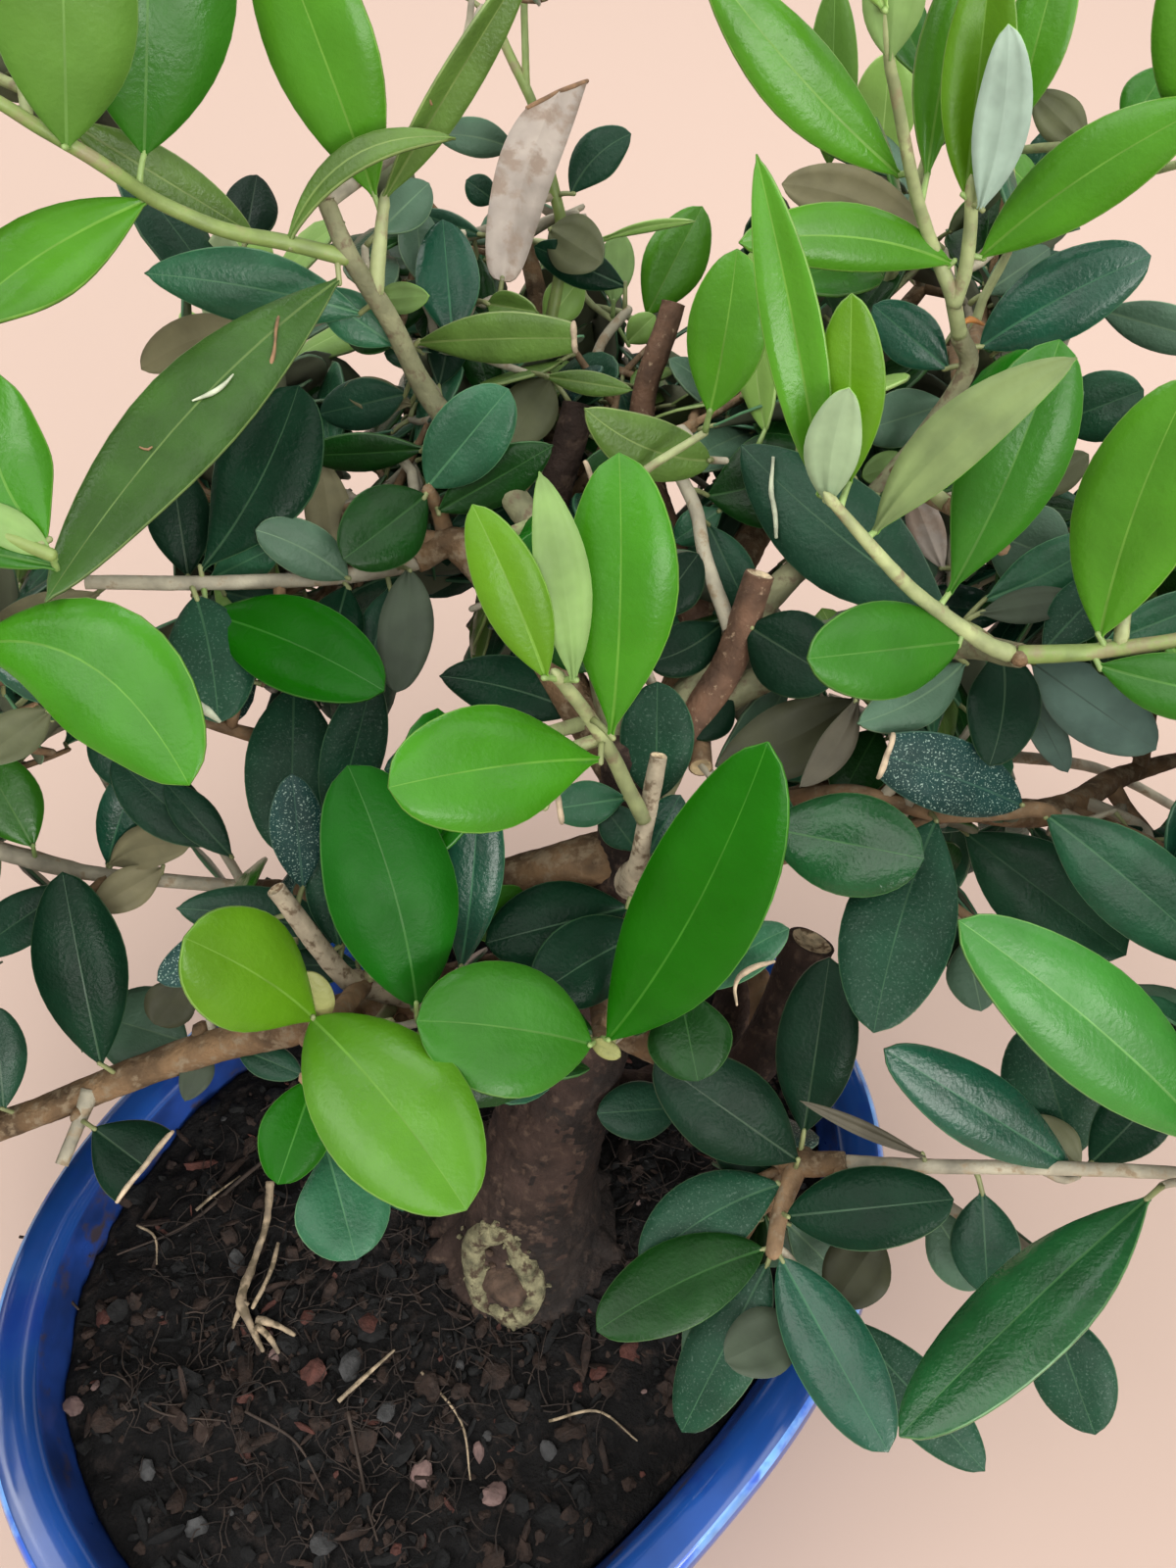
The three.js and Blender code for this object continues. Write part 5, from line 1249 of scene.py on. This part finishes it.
def route(p, level=1.0, reach=60.0, tries=14, strict=True):
    """The way of a twig to p from a limb near by, chosen so that it stays behind what shows."""
    nearest(p)
    P, M = _cache["p"], _cache["m"]
    d = np.linalg.norm(P - p, axis=1)
    d = np.where(M >= level, d, 1e9)
    order, picks = np.argsort(d), []
    for k in order[:600]:
        if d[k] > reach and picks:
            break
        if d[k] < 5 or any(np.linalg.norm(P[k] - P[m]) < 3.5 for m in picks):
            continue
        picks.append(k)
        if len(picks) >= tries:
            break
    best = None
    for k in picks:
        q, rq, dq, dist = P[k], float(_cache["r"][k]), _cache["d"][k], float(d[k])
        if dist > 1e8:
            continue
        v = p - q
        out = unit(v - dq * (v @ dq) * .6)
        pts = [q, q + out * dist * .36 + np.array([0, 0, .02]) * dist, q + v * .72 + WOBBLE[k % 64] * dist * .05, p]
        line, par, s = smooth_line(pts, step=1.7)
        bad = seen_over(line)
        bad[s < rq + 1.6] = False
        first = int(np.argmax(bad)) if bad.any() else len(line)
        if first == len(line):
            return line, rq
        share = first / len(line)
        if best is None or share > best[0]:
            best = (share, line, rq, first)
    if best is None:
        return None, 0
    if strict:
        return (best[1][:best[3]], best[2]) if best[0] > .62 and best[3] >= 6 else (None, 0)
    return best[1], best[2]


WOBBLE = np.random.default_rng(5).normal(0, 1, (64, 3))


bare = []


def grow(p, r0=.95, r1=.55, kind="grey", seed=0, level=1.0, strict=False, reach=60.0):
    """A thin twig from a limb or twig near by to p, which new leaves can stand on."""
    line, rq = route(p, level, reach, strict=strict)
    if line is None:
        return None
    shown = seen_over(line).mean()
    if shown > .12:
        bare.append((round(float(shown), 2), [int(x) for x in PX(line[0])[0]], [int(x) for x in PX(line[-1])[0]]))
    line, t, r, s = tube(TWIG[kind], line, (min(r0, rq * .9), (r0 * .6 + r1 * .4), (r0 + r1) * .45, r1), sides=7, n=max(4, int(len(line) * .8)), relief=.06, seed=seed)
    note(line, t, r, .5, every=1, start=2)
    return line, t, r, s


make_limbs()
# the twigs that show
for k, (kind, pts, radii, end) in enumerate(TWIGS):
    line, t, r, s = tube(TWIG[kind], [W(x, y, held(x, y, d)) for x, y, d in pts], radii, sides=16, step=.8, relief=.07, bark=.05 if kind in ("grey", "bark") else .02, cap=end, seed=k, cap_mat=1)
    note(line, t, r, .8, every=2, start=0)
    stamp(line)
for k, (name, (pts, radii)) in enumerate(LIMBS.items()):
    if name in ("bough_top_left", "bough_left_low", "bough_left_high", "bough_right_high", "bough_right_low", "bough_top_right") or name.startswith("stub"):
        line, par, s = smooth_line(pts, step=.8)
        r = np.interp(par, np.linspace(0, 1, len(radii)), radii)
        for side in (-.8, 0, .8):
            stamp(line + RIGHT * (side * r)[:, None])
            stamp(line + UP * (side * r)[:, None])


def place_hero(k, row):
    kind, bx, by, bd, tx, ty, td, width, roll = row[:9]
    opt = dict(row[9])
    if isinstance(row[-1], str):
        kind = row[-1]
    bd, td = held(bx, by, bd), held(tx, ty, td)
    b0, b1 = W(bx, by, bd), W(tx, ty, td)
    mid = (b0 + b1) / 2
    T = unit(b1 - b0)
    V = unit(CAM - mid)
    N = unit(V - T * (V @ T))
    S = np.cross(N, T)
    dm = (bd + td) / 2
    a = math.radians(roll + rng.uniform(-5, 5))
    bow, sag = opt.pop("bow", 0) * dm / FOCAL, opt.pop("sag", None)
    length = np.linalg.norm(b1 - b0)
    if sag is None:
        sag = length * rng.uniform(.02, .06)
    N = N * math.cos(a) + S * math.sin(a)
    if kind in UNDER:
        N, bow, sag = -N, -bow, -sag * .6
    w = width * dm / FOCAL / max(.6, math.cos(a)) * 1.03
    rec = piece(kind)
    opt.setdefault("rise", .22 + .1 * rng.uniform())
    opt.setdefault("drop", .30 + .12 * rng.uniform())
    b = rec["b"]
    before = len(b.v)
    first = leaf(b, FINE, b0, b1, N, w, bow=bow, sag=sag, seed=k * 1.37, **opt)
    rec["nodes"].add(mass_of(mid))
    top = b.v[before][:210].reshape(21, 10, 3)
    if "cut" in opt:
        tube(DRY, top[-1] - N * .1, (.3, .42, .4, .46, .3), sides=6, n=14, relief=.2, seed=k, mat=1 if kind == "dead" else 0)
    R, C = np.linspace(0, 20, 100), np.linspace(0, 9, 46)
    i, j = np.minimum(R.astype(int), 19), np.minimum(C.astype(int), 8)
    fr, fc = (R - i)[:, None, None], (C - j)[None, :, None]
    g = (top[i][:, j] * (1 - fr) * (1 - fc) + top[i + 1][:, j] * fr * (1 - fc) + top[i][:, j + 1] * (1 - fr) * fc + top[i + 1][:, j + 1] * fr * fc)
    stamp(g.reshape(-1, 3))
    return b0, b1, first, kind


heroes = [place_hero(k, row) for k, row in enumerate(LEAVES)]
# a stalk for each, on a twig that is there or on a new thin one behind the leaf
order = sorted(range(len(heroes)), key=lambda k: nearest(heroes[k][0])[0])
for k in order:
    b0, b1, first, kind = heroes[k]
    dist, q, rq, dq = nearest(b0)
    if dist > 6.5:
        back = b0 - first * 2.6 + unit(b0 - CAM) * 1.2
        grow(back, .8, .5, "pale" if kind in ("bright", "yellow", "vivid", "fresh", "silver", "wash") else "grey", seed=k, level=.3 if dist < 30 else 1.0)
        dist, q, rq, dq = nearest(b0)
    petiole(PET, q + unit(b0 - q) * rq * .5, b0, mat_=0 if kind in ("bright", "yellow", "vivid", "fresh", "silver", "wash", "deep", "unpale", "ungreen", "gloss", "mid") else 1)


def mark(pts, radii, mat_, lift=.3):
    """A shred of dry stuff that lies on whatever leaf shows at these places of the view."""
    at = []
    for x, y in pts:
        i, j = int((x - X0) // CELL), int((y - Y0) // CELL)
        near = NEAR[j - 1:j + 2, i - 1:i + 2]
        near = near[near < 1e8]
        at.append(near.mean() if len(near) else 1e9)
    low = min(at)
    tube(DRY, [W(x, y, (d if d < low + 12 else low) - lift) for (x, y), d in zip(pts, at)], radii, sides=7, step=.5, mat=mat_, relief=.3, seed=int(pts[0][0]))


mark([(288, 306), (282, 334), (279, 362), (268, 397)], (.1, .2, .16, .26, .12), 1)
mark([(196, 409), (214, 402), (228, 393), (238, 382)], (.08, .28, .26, .08), 2)
mark([(142, 456), (150, 459), (155, 456)], (.08, .14, .08), 1, .12)
mark([(789, 466), (787, 500), (791, 526), (792, 548)], (.2, .34, .32, .26), 2, .6)
mark([(980, 332), (990, 326), (1003, 331)], (.15, .45, .2), 3, .6)
mark([(752, 1026), (750, 1008), (756, 995), (772, 986), (790, 981)], (.12, .3, .42, .4, .2), 0, 1.2)
mark([(200, 716), (212, 726), (224, 736)], (.3, .5, .2), 2)
mark([(436, 96), (440, 106)], (.2, .2), 1, .1)

# ---------------------------------------------------------------- the rest of the crown
YOUNG_TOP = ["bright", "yellow", "vivid", "bright", "fresh", "gloss"]
OLD = ["dark", "dark", "mdark", "teal", "deepteal", "dusty", "teal", "mdark", "grey", "olive", "speck", "black"]
YOUNG_IN = ["mid", "mdark", "deepteal", "teal", "dark", "deep"]
stats = {"twigs": 0, "leaves": 0, "short": 0}
LEAF_P = [np.zeros(3)]
filled = {n: 0 for n in M_NAME}
CLOUD = np.zeros((0, 3))


def crowd(p):
    return np.min(np.linalg.norm(np.asarray(LEAF_P[-4000:]) - p, axis=1))


def outline(b0, b1, N, w):
    T = unit(b1 - b0)
    B = np.cross(N, T) * w * .5
    c = [b0 + (b1 - b0) * u for u in (0, .12, .3, .5, .7, .88, 1)]
    f = [0, .55, .93, 1, .93, .55, 0]
    return np.array([p + B * (s * q) for p, q in zip(c, f) for s in (-1, -.5, 0, .5, 1)])


def low_enough(p):
    return p[2] > 50.5 + 0.0 * p[0]


def spray(path, kind_in, kind_out, leafy, size, gap, mass, outer, seed):
    """Opposite pairs of leaves along the outer part of a twig, each pair turned from the last."""
    line, t, r, s = path
    used = []
    total = s[-1]
    pos = total
    tw = rng.uniform(0, math.pi)
    n = 0
    placed = 0
    while pos > total * (1 - leafy) and n < 9:
        k = int(np.argmin(np.abs(s - pos)))
        p, d = line[k], t[k]
        a = unit(np.cross(d, [0, 0, 1]) + 1e-3)
        c = np.cross(d, a)
        ang = tw + n * math.pi / 2 + rng.normal(0, .16)
        out = a * math.cos(ang) + c * math.sin(ang)
        young = outer and n < 2
        kind = kind_out if (outer and n < 3) else kind_in
        for sgn in (1, -1):
            o = out * sgn
            spread = (.75 if n == 0 else 1.25) + rng.normal(0, .14)
            T = unit(d * math.cos(spread) + o * math.sin(spread) + np.array([0, 0, .10]) + rng.normal(0, .08, 3))
            L = size * rng.uniform(.82, 1.16) * (1.25 if young else 1.0) * (.78 if n == 0 and not outer else 1.0)
            w = L * rng.uniform(.40, .50) * (1.0 if not young else .92)
            foot = p + o * r[k] * .6
            b0 = p + o * (r[k] + 1.2) + T * 1.3
            b1 = b0 + T * L
            N = unit(d * .75 + np.array([0, 0, .75]) + rng.normal(0, .22, 3))
            N = unit(N - T * (N @ T))
            mid = (b0 + b1) / 2
            if min(b0[2], b1[2]) < 53 and np.hypot(*(b1[:2] - [0, 0])) < 200:
                continue
            if not inside_box(b0, b1, w):
                continue
            if crowd(mid) < 4.6:
                continue
            if blocked(outline(b0, b1, N, w)):
                continue
            kk = kind
            if rng.uniform() < .16:
                kk = kind_in if kind != kind_in else str(rng.choice(OLD if not outer else YOUNG_IN))
            rec = piece(kk)
            leaf(rec["b"], COARSE, b0, b1, N, w, shape="eolet"[int(rng.integers(5))], sag=L * rng.uniform(.01, .07), bow=L * rng.normal(0, .03),
                 rise=.2 + .16 * rng.uniform(), drop=.28 + .16 * rng.uniform(), twist=rng.normal(0, .18), seed=rng.uniform(0, 50))
            rec["nodes"].add(mass_of(mid))
            filled[mass_of(mid)] += 1
            LEAF_P.append(mid)
            petiole(PET, foot, b0, .32, .42, mat_=0 if young else 1)
            used.append(s[k])
            placed += 1
        pos -= gap * rng.uniform(.85, 1.2) * (.7 if n == 0 else 1)
        n += 1
    stats["leaves"] += placed
    return used


BOX_LO = np.array([-112.4, -74.5, 47.0])
BOX_HI = np.array([144.6, 136.5, 240.9])


def inside_box(b0, b1, w):
    for p in (b0, b1):
        if np.any(p < BOX_LO - 2) or np.any(p > BOX_HI + 3):
            return False
    return True


def way(pts, radii, n):
    line, par, s = smooth_line(pts, n=n)
    return line, frames(line)[0], np.interp(par, np.linspace(0, 1, len(radii)), radii), s


def draw(kind, path, end, sides, seed=0):
    """The part of a twig that carries leaves, and no more."""
    line, t, r, s = path
    k = min(len(line), int(np.searchsorted(s, end)) + 2)
    if k < 3:
        return
    tube(TWIG[kind], line[:k], r[:k], sides=sides, n=k, relief=.05, seed=seed)
    note(line[:k], t[:k], r[:k], .4, every=1, start=1)
    stats["twigs"] += 1


def sphere_dirs(n, phase):
    k = np.arange(n) + .5
    z = 1 - 2 * k / n
    a = math.pi * (3 - 5 ** .5) * k + phase
    q = np.sqrt(1 - z * z)
    return np.stack([q * np.cos(a), q * np.sin(a), z], 1)


for mi, name in enumerate(M_NAME):
    c, s_, young = MASSES[name]
    c, s_ = np.array(c, float), np.array(s_, float)
    n_main = 16 if name != "leaves_core" else 13
    # one twig that runs into the mass, from which the others leave
    dist, q, rq, dq = nearest(c, True)
    if dist > 9:
        before = len(SAMPLES["p"])
        if grow(c, 1.5, .95, "bark", seed=mi, strict=True) is not None:
            SAMPLES["main"][before:] = [1] * (len(SAMPLES["p"]) - before)
            _cache["n"] = -1
    for di, u in enumerate(sphere_dirs(n_main, mi * 1.7)):
        if u[2] < -.80:
            continue
        target = c + u * s_ * rng.uniform(.62, .84)
        line, rq = route(target, .8 if di % 2 else 1.0, 62.0)
        if line is None:
            stats["short"] += 1
            continue
        tips_young = young and (u[2] > -.25)
        fresh = (not young) and u[2] > .55 and rng.uniform() < .30
        outer = tips_young or fresh
        kin = str(rng.choice(YOUNG_IN if young else OLD))
        kout = str(rng.choice(YOUNG_TOP)) if outer else kin
        kind_t = "pale" if outer else ("grey" if rng.uniform() < .6 else "bark")
        path = way(line, (min(1.15, rq * .9), .9, .72, .48), max(6, int(len(line) * .7)))
        size = rng.uniform(16.5, 20.5)
        used = spray(path, kin, kout, .84, size, 7.2, name, outer, di)
        kids = []
        for f in (.28, .48, .66, .84):
            k = int(f * (len(path[0]) - 1))
            if k < 1:
                continue
            p, dd = path[0][k], path[1][k]
            a = unit(np.cross(dd, rng.normal(0, 1, 3)))
            away = unit(p - c + 1e-6)
            e = unit(dd * .75 + a * .8 + away * .45)
            L = rng.uniform(10, 17) * (.8 + .4 * (1 - f))
            l2, _, _ = smooth_line([p, p + e * L * .5 + rng.normal(0, .6, 3), p + e * L + np.array([0, 0, 1.2])], step=1.7)
            bad = seen_over(l2)
            bad[:2] = False
            if bad.any():
                l2 = l2[:int(np.argmax(bad))]
            if len(l2) < 4:
                continue
            path2 = way(l2, (path[2][k] * .8, .55, .42), max(4, int(len(l2) * .7)))
            k2 = kin if rng.uniform() < .7 else str(rng.choice(YOUNG_IN if young else OLD))
            used2 = spray(path2, k2, kout, .88, size * .92, 6.6, name, outer and f > .5, k)
            if used2:
                kids.append((path2, max(used2)))
                used.append(path[3][k])
        if used:
            draw(kind_t, path, max(used), 6, di)
            for path2, end in kids:
                draw(kind_t, path2, end, 5)

# ---------------------------------------------------------------- make the meshes
MATS = {}
GLOSSY = {"deepteal", "ivy", "limelit"}
for kind, (top, edge, under, rough) in KINDS.items():
    rib = tuple(.62 * a + .38 * b for a, b in zip(under if kind in UNDER else top, edge))
    rim = tuple(.5 * a + .5 * b for a, b in zip(top, edge))
    sp = {"dusty": .10, "speck": .75, "teal": .04, "dark": .03}.get(kind, 0.0)
    young_kind = kind in ("bright", "ash", "lush", "limelit", "vivid", "yellow", "fresh", "wash", "silver", "white", "shiny", "deep", "gloss", "mid", "unpale", "ungreen")
    MATS[kind] = [
        mat("leaf_" + kind, top, vary=.05 if young_kind else .10, cell=9 if young_kind else 7, rough=rough, rvary=.09, bump=.5 if young_kind else .9, grain=.8 if young_kind else .65, depth=.15, specks=sp, speck_size=.24 if kind == "speck" else .30, speck_at=.60, spec=.30 if kind in GLOSSY else .08 if kind in ("black", "ink") else .09 if kind in ("gloss", "deep", "vivid") else .16 if kind in ("dark", "mdark", "dusty", "undk", "ungr") else .22,
            coat=.11 if kind in GLOSSY else .04 if kind in ("bright", "lush", "teal", "mdark") else 0.0),
        mat("rib_" + kind, rib, vary=.08, cell=5, rough=min(.6, rough + .1), bump=.15, grain=.7, depth=.06, spec=.25),
        mat("edge_" + kind, rim, vary=.10, cell=4, rough=min(.6, rough + .1), bump=.15, grain=.7, depth=.06),
        mat("under_" + kind, under, vary=.08, cell=5, rough=.62, bump=.35, grain=.6, depth=.10, spec=.3,
            second=(141, 124, 110) if kind == "dead" else None, second_cell=4.0, second_at=.56),
    ]
YOUNG_KINDS = {"bright", "ash", "lush", "limelit", "white", "shiny", "vivid", "yellow", "fresh", "wash", "silver", "deep", "mid", "gloss", "unpale", "ungreen", "cream"}
total = 0
for kind, rows in FOLIAGE.items():
    for n, rec in enumerate(rows):
        total += rec["b"].tris()
        rec["b"].make("foliage_%s_%d" % (kind, n + 1), MATS[kind], "young_leaf" if kind in YOUNG_KINDS else "old_leaf", sorted(rec["nodes"]))
t_new = mat("twig_new", (112, 130, 68), vary=.12, cell=4, rough=.5, bump=.4, grain=.7, depth=.14, second=(126, 122, 84), second_cell=4, second_at=.6)
t_pale = mat("twig_pale", (142, 150, 104), vary=.14, cell=4, rough=.6, bump=.45, grain=.7, depth=.14, second=(128, 118, 88), second_cell=3, second_at=.6)
t_grey = mat("twig_grey", (148, 142, 124), vary=.16, cell=4, rough=.7, bump=.6, grain=.6, depth=.18, second=(140, 124, 100), second_cell=2, second_at=.6, spec=.3)
t_bark = mat("twig_brown", (112, 90, 66), vary=.22, cell=4, rough=.75, bump=.8, grain=.6, depth=.22, second=(128, 112, 90), second_cell=1.6, second_at=.6, spec=.3)
t_cut = mat("twig_cut", (164, 146, 112), vary=.15, cell=1.2, rough=.8, bump=.6, grain=.4, depth=.15, spec=.3)
for kind, m in (("new", t_new), ("pale", t_pale), ("grey", t_grey), ("bark", t_bark)):
    total += TWIG[kind].tris()
    TWIG[kind].make("twigs_" + kind, [m, t_cut], "bark")
DRY.make("leaf_dry_edges", [mat("leaf_dry", (170, 152, 128), vary=.2, cell=2, rough=.75, bump=.4, grain=.5), mat("leaf_dry_brown", (116, 88, 62), vary=.2, cell=2, rough=.75, bump=.4, grain=.5),
                             mat("leaf_dry_pale", (164, 170, 146), vary=.15, cell=2, rough=.7, bump=.4, grain=.5), mat("leaf_dry_ochre", (150, 98, 44), vary=.2, cell=2, rough=.7, bump=.4, grain=.5)], "old_leaf", ["leaves_core"])
total += PET.tris()
PET.make("leaf_stalks", [mat("stalk_young", (122, 146, 84), vary=.1, cell=3, rough=.5, bump=.2, grain=.6), mat("stalk_old", (122, 128, 84), vary=.12, cell=3, rough=.55, bump=.2, grain=.6)], "bark")
make_pot()
make_soil()
print("leaves", stats, "triangles of the foliage and twigs", total)
print("bare", sorted(bare, reverse=True)[:30])
print("empty masses", [n for n in M_NAME if filled[n] < 12], filled)


# ---------------------------------------------------------------- floor and light
def plane(name, size, z, m):
    me = bpy.data.meshes.new(name)
    h = size / 2
    me.from_pydata([(-h, -h, z), (h, -h, z), (h, h, z), (-h, h, z)], [], [(0, 1, 2, 3)])
    me.materials.append(m)
    ob = bpy.data.objects.new(name, me)
    bpy.context.scene.collection.objects.link(ob)
    return ob


floor = bpy.data.materials.new("floor")
floor.use_nodes = True
fb = next(x for x in floor.node_tree.nodes if x.type == "BSDF_PRINCIPLED")
fb.inputs["Base Color"].default_value = lin((182, 160, 148))
fb.inputs["Roughness"].default_value = 0.9
fb.inputs["Specular IOR Level"].default_value = 0.1
plane("floor", 12.0, 0.0, floor)

world = bpy.data.worlds.new("world")
bpy.context.scene.world = world
world.use_nodes = True
bg = next(x for x in world.node_tree.nodes if x.type == "BACKGROUND")
bg.inputs["Color"].default_value = (1.0, 0.985, 0.96, 1)
bg.inputs["Strength"].default_value = 0.64


def area(name, at, to, size, power, colour, size_y=None):
    d = bpy.data.lights.new(name, "AREA")
    d.energy = power
    d.color = colour
    d.size = size
    if size_y:
        d.shape = "RECTANGLE"
        d.size_y = size_y
    o = bpy.data.objects.new(name, d)
    bpy.context.scene.collection.objects.link(o)
    at, to = np.array(at, float), np.array(to, float)
    z = unit(at - to)
    x = unit(np.cross([0, 0, 1.0], z) + 1e-9)
    y = np.cross(z, x)
    m = [[x[i], y[i], z[i], at[i] * MM] for i in range(3)] + [[0, 0, 0, 1]]
    o.matrix_world = mathutils.Matrix(m)
    return o


area("key", (-1000, -800, 2200), (20, 60, 80), 2.2, 46.0, (1.0, 0.985, 0.965))
area("left", (-1400, 500, 1600), (20, 20, 40), 1.2, 16.0, (1.0, 0.985, 0.965))
area("back", (-150, 1500, 2000), (20, 60, 100), 1.1, 12.0, (0.97, 0.985, 1.0), 0.6)
area("front", (900, -1300, 1500), (20, 20, 120), 1.8, 22.0, (1.0, 0.99, 0.97), 1.6)
area("right", (1500, 500, 1700), (60, 40, 40), 1.8, 20.0, (1.0, 0.99, 0.97), 1.8)
area("low", (900, -1500, 620), (60, 40, 40), 1.2, 22.0, (1.0, 0.97, 0.94), 0.5)
bpy.context.scene.view_settings.view_transform = "Standard"
bpy.context.scene.view_settings.look = "None"

bpy.context.view_layer.update()
